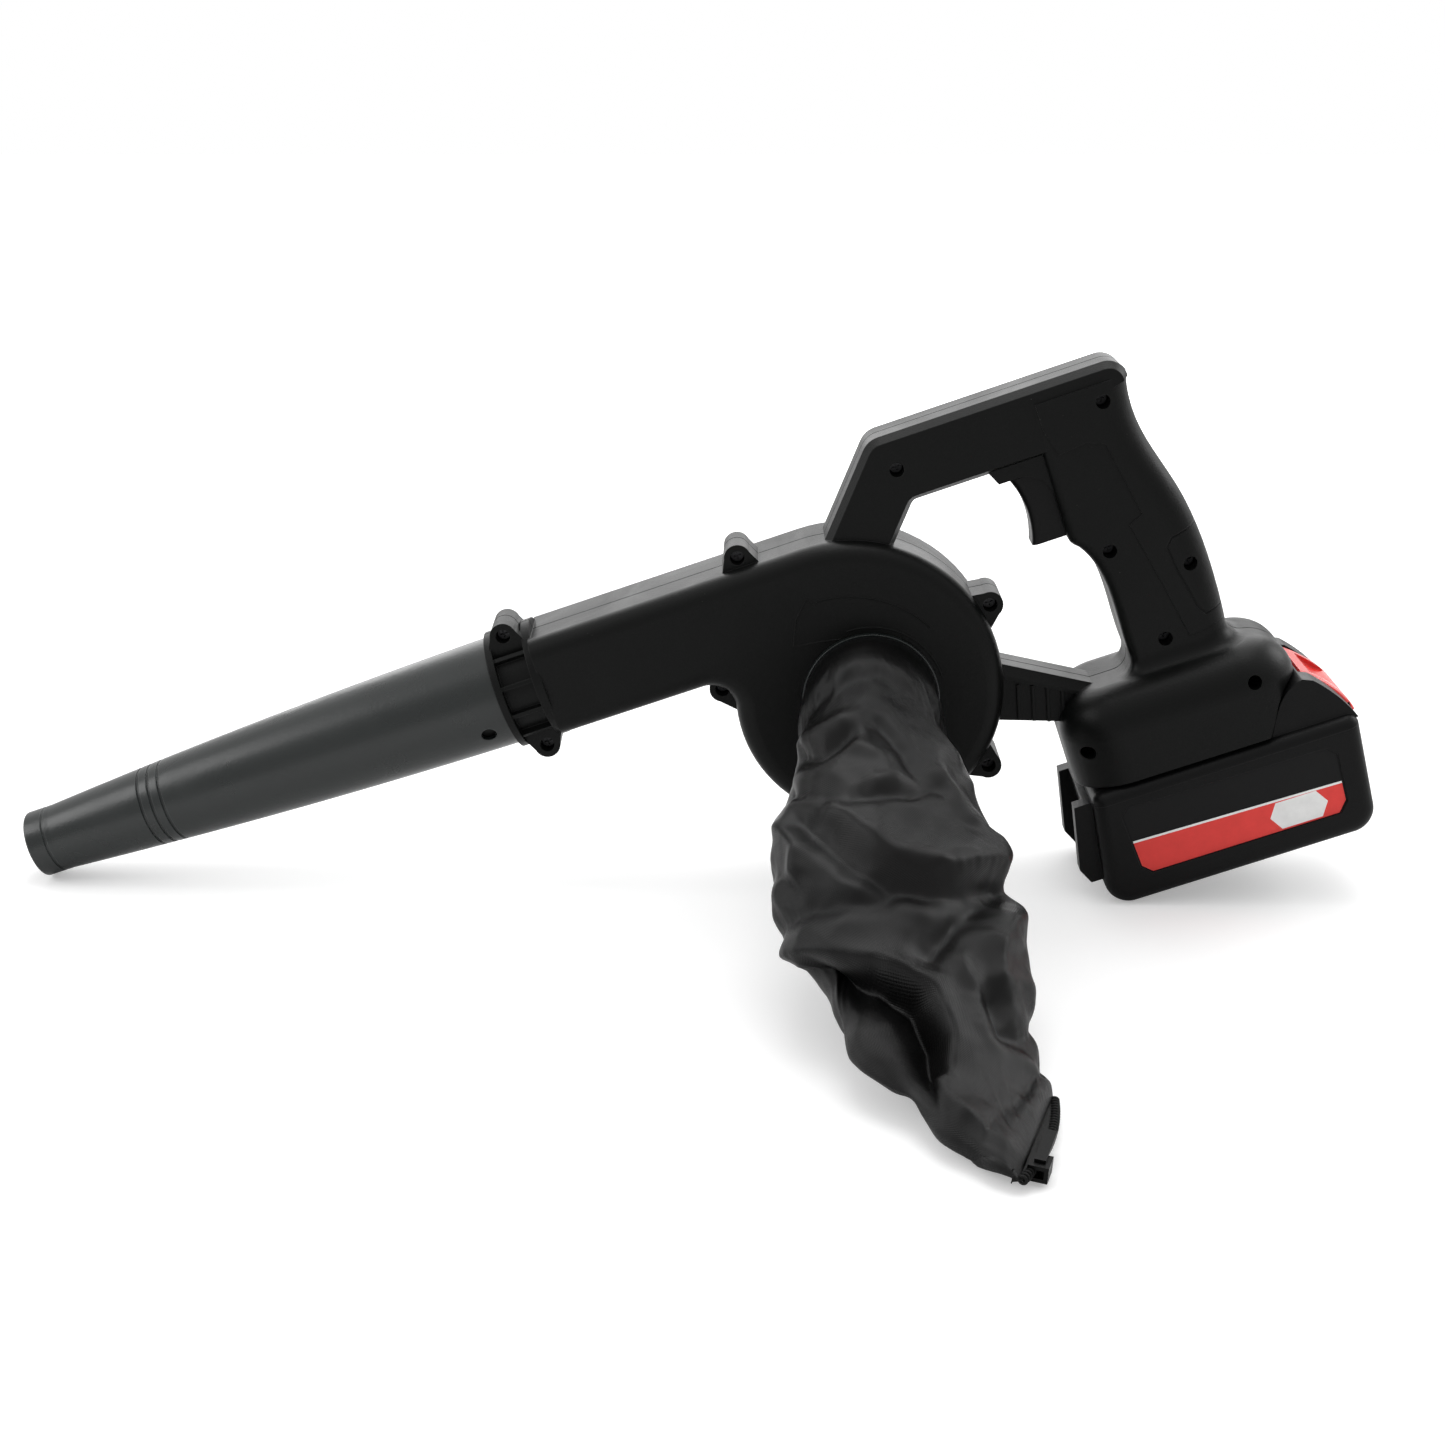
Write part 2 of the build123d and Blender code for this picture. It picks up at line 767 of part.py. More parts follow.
rear_bearing = motor_rear - cap_thickness - 1.5
with BuildPart() as motor_bearings:
    with BuildSketch(layer(motor_front - 3)):
        Circle(bearing_radius)
        Circle(shaft_radius + turn_fit, mode=Mode.SUBTRACT)
    extrude(amount=bearing_width)
    with BuildSketch(layer(rear_bearing)):
        Circle(bearing_radius)
        Circle(shaft_radius + turn_fit, mode=Mode.SUBTRACT)
    extrude(amount=bearing_width)
motor_bearings.part.label = "motor_bearings"
export_step(motor_bearings.part, "parts/motor_bearings.step")

with BuildPart() as motor_shaft:
    with BuildSketch(layer(rear_bearing - 1)):
        Circle(shaft_radius)
    extrude(amount=hub_top + 5 - rear_bearing)
motor_shaft.part.label = "motor_shaft"
export_step(motor_shaft.part, "parts/motor_shaft.step")

core_radius = magnet_inner - 0.6
with BuildPart() as rotor_core:
    with BuildSketch(layer(core_rear)):
        Circle(core_radius)
        with PolarLocations(core_radius - 3.5, 10, start_angle=18):
            Rectangle(10, 2.4, mode=Mode.SUBTRACT)
        Circle(shaft_radius, mode=Mode.SUBTRACT)
    extrude(amount=core_length)
rotor_core.part.label = "rotor_core"
export_step(rotor_core.part, "parts/rotor_core.step")

with BuildPart() as rotor_windings:
    with BuildSketch(layer(core_rear - 5)):
        Circle(core_radius - 2.5)
        Circle(core_radius - 8.6, mode=Mode.SUBTRACT)
    extrude(amount=5)
    fillet(side_faces(rotor_windings)[0].edges(), 1.8)
    with BuildSketch(layer(core_rear + core_length)):
        Circle(core_radius - 2.5)
        Circle(core_radius - 8.6, mode=Mode.SUBTRACT)
    extrude(amount=5)
    fillet(side_faces(rotor_windings)[1].edges(), 1.8)
    with BuildSketch(layer(core_rear)):
        with PolarLocations(core_radius - 5, 10, start_angle=18):
            Rectangle(5, 2.2)
    extrude(amount=core_length)
rotor_windings.part.label = "rotor_windings"
export_step(rotor_windings.part, "parts/rotor_windings.step")

with BuildPart() as commutator:
    with BuildSketch(layer(motor_rear + 0.2)):
        Circle(6)
        with PolarLocations(6, 10):
            Rectangle(1.6, 0.6, mode=Mode.SUBTRACT)
        Circle(shaft_radius, mode=Mode.SUBTRACT)
    extrude(amount=core_rear - 5.2 - motor_rear)
commutator.part.label = "commutator"
export_step(commutator.part, "parts/commutator.step")

with BuildPart() as motor_brushes:
    with BuildSketch(layer(motor_rear + 1.1)):
        with Locations((0, 10.2), (0, -10.2)):
            Rectangle(4.4, 8)
    extrude(amount=4.4)
motor_brushes.part.label = "motor_brushes"
export_step(motor_brushes.part, "parts/motor_brushes.step")

# Trigger in the front of the grip
with BuildPart() as trigger:
    with BuildSketch(tool):
        with BuildLine():
            face = Spline((86, 37.2), (88.3, 49), (84.8, 67.6))
            Polyline(face @ 1, (112, 67.6), (112, 37.2), face @ 0)
        make_face()
    extrude(amount=trigger_half, both=True)
    for face in side_faces(trigger):
        fillet(face.edges().sort_by(along)[:1], 3)
    # flange that keeps the trigger in the grip
    with BuildSketch(tool):
        with BuildLine():
            Polyline((105.4, 38), (105.4, 70.5), (108, 70.5), (108, 38), close=True)
        make_face()
    extrude(amount=trigger_half + 2.5, both=True)
trigger.part.label = "trigger"
export_step(trigger.part, "parts/trigger.step")

switch_front = 112 + trigger_travel + 1
switch_line = Plane(origin=tool.from_local_coords((112, 52, 0)), x_dir=tool.y_dir, z_dir=tool.x_dir)
with BuildPart() as switch_plunger:
    with BuildSketch(switch_line):
        Circle(2.4)
    extrude(amount=trigger_travel + 4)
switch_plunger.part.label = "switch_plunger"
export_step(switch_plunger.part, "parts/switch_plunger.step")

with BuildPart() as switch_body:
    with BuildSketch(switch_line.offset(switch_front - 112)):
        Rectangle(26, 2 * (grip_half - grip_wall - fit))
    extrude(amount=20)
    with BuildSketch(switch_line.offset(switch_front - 112)):
        Circle(2.4 + fit)
    extrude(amount=trigger_travel + 5, mode=Mode.SUBTRACT)
switch_body.part.label = "switch_body"
export_step(switch_body.part, "parts/switch_body.step")

# Ring that carries the dust bag, pushed on the inlet spigot
ring_inner = eye_radius + wall + fit
ring_foot = left_depth + 0.4
with BuildPart() as bag_ring:
    with BuildSketch(layer(ring_foot)):
        Circle(bag_neck + 2.3)
        Circle(ring_inner, mode=Mode.SUBTRACT)
    extrude(amount=3)
    with BuildSketch(layer(ring_foot)):
        Circle(bag_neck - 0.2)
        Circle(ring_inner, mode=Mode.SUBTRACT)
    extrude(amount=18)
bag_ring.part.label = "bag_ring"
export_step(bag_ring.part, "parts/bag_ring.step")


def bag_plane(x, y, z, heading, dip):
    """Section plane of the bag, placed from the fan axis over the floor."""
    away = Vector(
        sin(radians(heading)) * cos(radians(dip)),
        -cos(radians(heading)) * cos(radians(dip)),
        -sin(radians(dip)),
    )
    flat = Vector(cos(radians(heading)), sin(radians(heading)), 0)
    return Plane(origin=(fan_x + x, fan_y + y, z), x_dir=flat, z_dir=away)


def bag_form(sections, inset):
    """Cloth bag from its round neck to the flat seam at its end."""
    with BuildPart() as form:
        for x, y, z, heading, dip, half_width, half_height in sections:
            turns = [radians(360 * step / bag_sides) for step in range(bag_sides)]
            ring = [((half_width - inset) * cos(t), (half_height - inset) * sin(t)) for t in turns]
            with BuildSketch(bag_plane(x, y, z, heading, dip)):
                with BuildLine():
                    Polyline(*ring, close=True)
                make_face()
        loft()
    return form.part


with BuildPart() as dust_bag:
    add(bag_form(bag_sections, 0))
    add(bag_form(bag_sections[1:-1], bag_wall), mode=Mode.SUBTRACT)
    with BuildSketch(layer(-bag_sections[0][1] - 1)):
        Circle(bag_neck)
    extrude(amount=bag_sections[0][1] - bag_sections[1][1] + 4, mode=Mode.SUBTRACT)
dust_bag.part.label = "dust_bag"
export_step(dust_bag.part, "parts/dust_bag.step")

end_plane = bag_plane(*bag_sections[-1][:5])
tape_half = 1.4
with BuildPart() as zipper:
    with BuildSketch(end_plane):
        SlotOverall(2 * bag_sections[-1][5] - 2, 2 * tape_half)
    extrude(amount=6)
zipper.part.label = "zipper"
export_step(zipper.part, "parts/zipper.step")

slider_plane = Plane(
    origin=end_plane.from_local_coords((-24, 0, 1.5)), x_dir=end_plane.y_dir, z_dir=end_plane.x_dir
)
with BuildPart() as zip_slider:
    with BuildSketch(slider_plane):
        with Locations((0, 3)):
            Rectangle(2 * tape_half + 3.2, 7.4)
        with Locations((0, 2)):
            Rectangle(2 * tape_half + 0.4, 6.4, mode=Mode.SUBTRACT)
    extrude(amount=9)
    with BuildSketch(slider_plane.offset(3)):
        with Locations((tape_half + 2.1, 3)):
            Rectangle(1.2, 4)
    extrude(amount=22)
zip_slider.part.label = "zip_slider"
export_step(zip_slider.part, "parts/zip_slider.step")

# Battery, hooked under the foot
def battery_form(inset):
    """Leaning block with rounded corners; both battery shells are cut from it."""
    low = battery_bottom + inset
    high = deck - inset
    rise = deck - battery_bottom
    with BuildPart() as form:
        with BuildSketch(tool) as outline:
            with BuildLine():
                Polyline(
                    (battery_toe + inset, low),
                    (battery_heel - inset, low),
                    (battery_heel + rise * tan(radians(heel_lean)) - inset, high),
                    (battery_toe + rise * tan(radians(toe_lean)) + inset, high),
                    close=True,
                )
            make_face()
            fillet(outline.vertices().sort_by(Axis.Y)[:2], battery_corner - inset)
            fillet(outline.vertices().sort_by(Axis.Y)[-2:], 5 - inset)
        extrude(amount=battery_half - inset, both=True)
        for face in side_faces(form):
            fillet(face.edges(), battery_side_round - inset)
    return form.part


with BuildPart() as battery_tub:
    add(battery_form(0))
    # two upright ribs on the front
    with BuildSketch(tool):
        with BuildLine():
            Polyline((79, -76), (79, -112), (66, -112), (62.8, -105), (68.5, -76), close=True)
        make_face()
    extrude(amount=28, both=True)
    with BuildSketch(tool):
        with Locations((60, -100)):
            Rectangle(26, 50)
    extrude(amount=20, both=True, mode=Mode.SUBTRACT)
    add(battery_form(0))
    add(battery_form(battery_wall), mode=Mode.SUBTRACT)
    split(bisect_by=level(battery_split), keep=Keep.BOTTOM)
    # shallow seat for the label on each side
    for side in (1, -1):
        with BuildSketch(layer(side * battery_half)):
            with BuildLine():
                Polyline(
                    (90, -79.5),
                    (178, -81),
                    (182, -85),
                    (181, -107),
                    (177, -112),
                    (92, -112),
                    (88, -108),
                    (86.5, -83),
                    close=True,
                )
            make_face()
        extrude(amount=-side * label_depth, mode=Mode.SUBTRACT)
battery_tub.part.label = "battery_tub"
export_step(battery_tub.part, "parts/battery_tub.step")

well_front = 177.4
well_floor = battery_split
with BuildPart() as battery_lid:
    add(battery_form(0))
    # shoulder behind the foot
    with BuildSketch(tool):
        with BuildLine():
            front = Spline((176.8, -49.6), (166, -56.2), (161.3, -63.6), (158, deck))
            slope = Spline((195.4, deck - 3), (191.2, -65), (181, -51.5))
            Polyline(front @ 1, (158, deck - 3), slope @ 0)
            Polyline(slope @ 1, front @ 0)
        make_face()
    extrude(amount=battery_half - 5, both=True)
    add(battery_form(battery_wall), mode=Mode.SUBTRACT)
    split(bisect_by=level(battery_split), keep=Keep.TOP)
    # neck and head that slide under the foot, with a pocket for the contacts
    with BuildSketch(level(deck - battery_wall)):
        with Locations(((head_front + head_rear) / 2, 0)):
            Rectangle(head_rear - head_front, 2 * neck_half)
    extrude(amount=head_top - deck + battery_wall)
    with BuildSketch(level(foot_bottom + rail_thickness + slide_fit)):
        with Locations(((head_front + head_rear) / 2, 0)):
            Rectangle(head_rear - head_front, 2 * head_half)
    extrude(amount=head_top - foot_bottom - rail_thickness - slide_fit)
    with BuildSketch(level(deck - battery_wall - 1)):
        with Locations(((head_front + head_rear) / 2, 0)):
            Rectangle(head_rear - head_front - 6, 2 * neck_half - 6)
    extrude(amount=head_top - deck + battery_wall - 1.2, mode=Mode.SUBTRACT)
    with BuildSketch(level(deck + 2.5)):
        for slot in range(5):
            with Locations((head_front, 8 * (slot - 2))):
                Rectangle(8, 2.4)
    extrude(amount=head_top - deck - 4.5, mode=Mode.SUBTRACT)
    # well for the release button, open to the rear
    with BuildSketch(level(well_floor - 2)):
        with Locations(((well_front + 190) / 2 - 1, 0)):
            Rectangle(192 - well_front, 2 * (button_half + slide_fit + 2))
    extrude(amount=8)
    with BuildSketch(level(well_floor)):
        with Locations((well_front + 15, 0)):
            Rectangle(30, 2 * (button_half + slide_fit))
    extrude(amount=40, mode=Mode.SUBTRACT)
battery_lid.part.label = "battery_lid"
export_step(battery_lid.part, "parts/battery_lid.step")

# the button's tail hangs outside the tub's rear wall, so that it clears it when pressed
split_rise = battery_split - battery_bottom
tail_inner = battery_heel + split_rise * tan(radians(heel_lean)) + slide_fit + 0.1
with BuildPart() as release_button:
    with BuildSketch(tool):
        with BuildLine():
            top = Spline((well_front + slide_fit + 1, -50.5), (186, -56.8), (193.6, -66.5), (197, -75))
            Polyline(
                top @ 1,
                (tail_inner, -75),
                (tail_inner, well_floor + button_travel + 1),
                (well_front + slide_fit, well_floor + button_travel + 1),
                (well_front + slide_fit, -52),
                top @ 0,
            )
        make_face()
    extrude(amount=button_half, both=True)
    for face in side_faces(release_button):
        fillet(face.edges().sort_by(Axis(tool.origin, tool.y_dir + tool.x_dir))[-1:], 2.5)
    # dish for the thumb
    with BuildSketch(layer(0)):
        with BuildLine():
            bow = ThreePointArc((182.5, -52), (186.5, -60.5), (195, -67))
            Polyline(bow @ 1, (203, -50), bow @ 0)
        make_face()
    extrude(amount=button_half - 6, both=True, mode=Mode.SUBTRACT)
release_button.part.label = "release_button"
export_step(release_button.part, "parts/release_button.step")

cell_middle = (battery_toe + battery_heel) / 2 + 3.2
cell_row = battery_bottom + battery_wall + cell_radius + 1
cell_columns = [cell_middle + cell_gap * (column - 2) for column in range(5)]
cell_places = []
for column in cell_columns:
    cell_places.append((column, cell_row))
    cell_places.append((column, cell_row + cell_pitch))
with BuildPart() as cells:
    with BuildSketch(layer(-cell_length / 2)):
        with Locations(*cell_places):
            Circle(cell_radius)
    extrude(amount=cell_length)
cells.part.label = "cells"
export_step(cells.part, "parts/cells.step")

holder_place = cell_length / 2 - 9
with BuildPart() as cell_holders:
    for side in (1, -1):
        with BuildSketch(layer(side * holder_place)):
            with Locations((cell_middle, cell_row + cell_pitch / 2)):
                RectangleRounded(4 * cell_gap + 2 * cell_radius + 0.6, cell_pitch + 2 * cell_radius + 0.6, 8.5)
            with Locations(*cell_places):
                Circle(cell_radius, mode=Mode.SUBTRACT)
        extrude(amount=side * 4)
cell_holders.part.label = "cell_holders"
export_step(cell_holders.part, "parts/cell_holders.step")

with BuildPart() as cell_strips:
    for side in (1, -1):
        with BuildSketch(layer(side * cell_length / 2)):
            for column in cell_columns:
                with Locations((column, cell_row + cell_pitch / 2)):
                    Rectangle(8, cell_pitch + 8)
        extrude(amount=side * 0.6)
cell_strips.part.label = "cell_strips"
export_step(cell_strips.part, "parts/cell_strips.step")

board_level = cell_row + cell_pitch + cell_radius + 0.6
with BuildPart() as battery_board:
    with BuildSketch(level(board_level)):
        with Locations((126, 0)):
            Rectangle(80, 44)
    extrude(amount=1.6)
    with BuildSketch(level(board_level + 1.6)):
        with Locations((140, -12), (140, 0), (140, 12)):
            Rectangle(9, 6)
        with Locations((122, 10), (122, -8)):
            Rectangle(7, 7)
    extrude(amount=2)
battery_board.part.label = "battery_board"
export_step(battery_board.part, "parts/battery_board.step")

contact_gap = 1.5
with BuildPart() as battery_contacts:
    for slot in range(5):
        for side in (1, -1):
            with BuildSketch(level(board_level + 1.6)):
                with Locations((head_front + 12, 8 * (slot - 2) + side * (contact_gap + 0.6) / 2)):
                    Rectangle(12, 0.6)
            extrude(amount=head_top - 3 - board_level - 1.6)
battery_contacts.part.label = "battery_contacts"
export_step(battery_contacts.part, "parts/battery_contacts.step")

# Terminals inside the front of the foot
block_low = foot_bottom + rail_thickness + 0.5
block_half = 18.0
with BuildPart() as terminal_block:
    with BuildSketch(level(block_low)):
        with Locations((foot_front + wall + 5, 0)):
            Rectangle(10, 2 * block_half)
    extrude(amount=7)
    front = terminal_block.edges().filter_by(upward).sort_by(along)[:2]
    fillet(front, block_half - foot_half + foot_corner)
terminal_block.part.label = "terminal_block"
export_step(terminal_block.part, "parts/terminal_block.step")

with BuildPart() as terminal_blades:
    with BuildSketch(level(block_low + 1)):
        for slot in range(5):
            with Locations((foot_front + wall + 10 + 8.5, 8 * (slot - 2))):
                Rectangle(17, 0.8)
    extrude(amount=3.6)
terminal_blades.part.label = "terminal_blades"
export_step(terminal_blades.part, "parts/terminal_blades.step")
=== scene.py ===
import json
import math

import bmesh
import bpy
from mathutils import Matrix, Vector, noise


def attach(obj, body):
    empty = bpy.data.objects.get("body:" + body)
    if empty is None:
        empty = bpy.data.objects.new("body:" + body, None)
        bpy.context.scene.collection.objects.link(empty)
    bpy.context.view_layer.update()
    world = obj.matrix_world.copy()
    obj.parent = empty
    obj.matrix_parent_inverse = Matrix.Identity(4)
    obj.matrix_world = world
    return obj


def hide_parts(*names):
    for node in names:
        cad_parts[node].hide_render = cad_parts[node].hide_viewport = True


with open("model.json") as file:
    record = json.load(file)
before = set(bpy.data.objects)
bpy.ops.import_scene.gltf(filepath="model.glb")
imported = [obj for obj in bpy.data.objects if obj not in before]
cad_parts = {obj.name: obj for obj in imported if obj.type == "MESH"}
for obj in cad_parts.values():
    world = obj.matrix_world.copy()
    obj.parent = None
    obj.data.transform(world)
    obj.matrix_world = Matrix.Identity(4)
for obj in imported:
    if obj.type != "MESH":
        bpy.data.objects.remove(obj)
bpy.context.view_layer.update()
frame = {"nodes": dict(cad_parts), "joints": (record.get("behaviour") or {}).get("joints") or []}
nodes = frame["nodes"]

# Studio: the tool stands on a wide white table in front of a white wall, and the camera looks
# at the bag side from a little above. Soft lamps hang behind, overhead and to the sides, and the
# room behind the camera is dimmer than the wall, so that the near faces stay dark.
camera_place = (0.01536, -0.86355, 0.39535)
camera_dip = 18.5
camera_lens = 57.3
table_half = 4.0
table_drop = 0.0003
table_white = 0.82
table_glow = 0.32
glow_start = 0.45
glow_end = 1.5
room_light = 0.8
dim_side = 0.62
dim_below = -0.3
full_above = 0.6
lamps = [  # name, place, what it aims at, side of its square, watts
    ("back_softbox", (0.0, 1.5, 0.95), (0.0, 0.0, 0.1), 1.8, 17.0),
    ("overhead_softbox", (0.1, 0.35, 1.7), (0.05, 0.0, 0.1), 1.0, 7.0),
    ("right_softbox", (1.5, 0.75, 1.0), (0.05, 0.0, 0.1), 0.9, 9.0),
    ("left_softbox", (-1.5, -0.2, 0.9), (0.0, 0.0, 0.1), 0.9, 8.0),
]
scene = bpy.context.scene
scene.view_settings.view_transform = "Standard"


def show(name, data):
    """Object of a mesh, curve, lamp or camera, linked at the origin."""
    made = bpy.data.objects.new(name, data)
    scene.collection.objects.link(made)
    return made


def put(tree, kind, sockets=None, **settings):
    """Adds a node; each socket takes a plain value or an output to link from."""
    made = tree.nodes.new(kind)
    for name, value in settings.items():
        setattr(made, name, value)
    for key, value in (sockets or {}).items():
        if isinstance(value, bpy.types.NodeSocket):
            tree.links.new(value, made.inputs[key])
        else:
            made.inputs[key].default_value = value
    return made


def empty_paint(name):
    """New material with an empty node tree; gives both."""
    paint = bpy.data.materials.new(name)
    paint.use_nodes = True
    paint.node_tree.nodes.clear()
    return paint, paint.node_tree


camera = show("camera", bpy.data.cameras.new("camera"))
camera.data.lens = camera_lens
camera.data.sensor_width = 36.0
camera.data.clip_start = 0.01
camera.location = camera_place
camera.rotation_euler = (math.radians(90 - camera_dip), 0, 0)
scene.camera = camera

for name, place, aim, size, power in lamps:
    lamp = show(name, bpy.data.lights.new(name, "AREA"))
    lamp.data.size = size
    lamp.data.energy = power
    lamp.location = place
    lamp.rotation_euler = (Vector(aim) - Vector(place)).to_track_quat("-Z", "Y").to_euler()

room = bpy.data.worlds.new("white_room")
room.use_nodes = True
tree = room.node_tree
tree.nodes.clear()
look = put(tree, "ShaderNodeTexCoord")
parts = put(tree, "ShaderNodeSeparateXYZ", {0: look.outputs["Generated"]})
high = put(tree, "ShaderNodeMath", {0: parts.outputs["Z"], 1: parts.outputs["Y"]},
           operation="ADD")
ahead = put(tree, "ShaderNodeMapRange", {"Value": high.outputs[0], "From Min": dim_below,
            "From Max": full_above, "To Min": dim_side, "To Max": 1.0},
            interpolation_type="SMOOTHSTEP")
rays = put(tree, "ShaderNodeLightPath")
mirror = put(tree, "ShaderNodeMath", {0: rays.outputs["Is Glossy Ray"],
             1: rays.outputs["Is Transmission Ray"]}, operation="MAXIMUM")
level = put(tree, "ShaderNodeMapRange", {"Value": mirror.outputs[0], "To Min": room_light,
            "To Max": 1.0})
level = put(tree, "ShaderNodeMath", {0: level.outputs[0], 1: ahead.outputs[0]},
            operation="MULTIPLY")
level = put(tree, "ShaderNodeMath", {0: level.outputs[0], 1: rays.outputs["Is Camera Ray"]},
            operation="MAXIMUM")
sky = put(tree, "ShaderNodeBackground", {"Color": (1, 1, 1, 1), "Strength": level.outputs[0]})
put(tree, "ShaderNodeOutputWorld", {"Surface": sky.outputs[0]})
scene.world = room

table_paint, tree = empty_paint("table_white")
rays = put(tree, "ShaderNodeLightPath")
spot = put(tree, "ShaderNodeTexCoord")
far = put(tree, "ShaderNodeVectorMath", {0: spot.outputs["Object"]}, operation="LENGTH")
fade = put(tree, "ShaderNodeMapRange", {"Value": far.outputs["Value"], "From Min": glow_start,
           "From Max": glow_end, "To Min": table_glow, "To Max": 1.0},
           interpolation_type="SMOOTHSTEP")
matt = put(tree, "ShaderNodeBsdfDiffuse", {"Color": (table_white, table_white, table_white, 1)})
glow = put(tree, "ShaderNodeMath", {0: rays.outputs["Is Camera Ray"], 1: fade.outputs[0]},
           operation="MULTIPLY")
lift = put(tree, "ShaderNodeEmission", {"Color": (1, 1, 1, 1), "Strength": glow.outputs[0]})
both = put(tree, "ShaderNodeAddShader", {0: matt.outputs[0], 1: lift.outputs[0]})
put(tree, "ShaderNodeOutputMaterial", {"Surface": both.outputs[0]})
mesh = bpy.data.meshes.new("table")
mesh.from_pydata([(x * table_half, y * table_half, -table_drop)
                  for x, y in ((-1, -1), (1, -1), (1, 1), (-1, 1))], [], [(0, 1, 2, 3)])
mesh.materials.append(table_paint)
table = show("table", mesh)

# Housing: two moulded halves of black ABS with a fine spark-eroded grain, screwed together on
# the middle plane. The joint between them stays visible as a thin line round the tool.
joint_half = 0.00036
lint_tone = (0.13, 0.13, 0.12, 1)
joint_tone = (0.0008, 0.0008, 0.0008, 1)
spin = next(j for j in frame["joints"] if j["name"] == "fan_spin")
slide = next(j for j in frame["joints"] if j["name"] == "battery_slide")
fan_axis = Vector(spin["pos_m"])
back = Vector(slide["axis"]).normalized()
left = Vector((0, -1, 0))
up = left.cross(back)


def at(u, v, w):
    """Point of the tool in mm: u back along the duct, v up and w to the left of the fan."""
    return fan_axis + (back * u + up * v + left * w) * 0.001


def effect(name, inputs, outputs):
    """Empty shader group with float, vector or colour sockets; gives tree, inlet, outlet."""
    tree = bpy.data.node_groups.new(name, "ShaderNodeTree")
    for title, kind, start in inputs:
        socket = tree.interface.new_socket(title, in_out="INPUT", socket_type="NodeSocket" + kind)
        if start is not None:
            socket.default_value = start
    for title, kind in outputs:
        tree.interface.new_socket(title, in_out="OUTPUT", socket_type="NodeSocket" + kind)
    return tree, put(tree, "NodeGroupInput"), put(tree, "NodeGroupOutput")


moulded_grain, inlet, outlet = effect(
    "moulded_grain",
    [("Place", "Vector", None), ("Grain", "Float", 1500.0)],
    [("Height", "Float"), ("Smudge", "Float"), ("Lint", "Float")],
)
pits = put(moulded_grain, "ShaderNodeTexNoise", {"Vector": inlet.outputs["Place"],
           "Scale": inlet.outputs["Grain"], "Detail": 2.0, "Roughness": 0.6})
hands = put(moulded_grain, "ShaderNodeTexNoise", {"Vector": inlet.outputs["Place"],
            "Scale": 21.0, "Detail": 4.0, "Roughness": 0.62, "Distortion": 0.8})
smear = put(moulded_grain, "ShaderNodeMapRange", {"Value": hands.outputs[0],
            "From Min": 0.35, "From Max": 0.7})
fluff = put(moulded_grain, "ShaderNodeTexVoronoi", {"Vector": inlet.outputs["Place"],
            "Scale": 260.0, "Randomness": 1.0})
fleck = put(moulded_grain, "ShaderNodeMapRange", {"Value": fluff.outputs["Distance"],
            "From Min": 0.055, "From Max": 0.02})
patch = put(moulded_grain, "ShaderNodeMapRange", {"Value": hands.outputs[0],
            "From Min": 0.52, "From Max": 0.6})
lint = put(moulded_grain, "ShaderNodeMath", {0: fleck.outputs[0], 1: patch.outputs[0]},
           operation="MULTIPLY")
moulded_grain.links.new(pits.outputs[0], outlet.inputs["Height"])
moulded_grain.links.new(smear.outputs[0], outlet.inputs["Smudge"])
moulded_grain.links.new(lint.outputs[0], outlet.inputs["Lint"])

rubbed_edge, inlet, outlet = effect(
    "rubbed_edge",
    [("Radius", "Float", 0.0007)],
    [("Normal", "Vector"), ("Edge", "Float")],
)
soft = put(rubbed_edge, "ShaderNodeBevel", {"Radius": inlet.outputs["Radius"]}, samples=6)
flat = put(rubbed_edge, "ShaderNodeNewGeometry")
turn = put(rubbed_edge, "ShaderNodeVectorMath", {0: soft.outputs[0], 1: flat.outputs["Normal"]},
           operation="DOT_PRODUCT")
edge = put(rubbed_edge, "ShaderNodeMapRange", {"Value": turn.outputs["Value"],
           "From Min": 0.995, "From Max": 0.86})
rubbed_edge.links.new(soft.outputs[0], outlet.inputs["Normal"])
rubbed_edge.links.new(edge.outputs[0], outlet.inputs["Edge"])


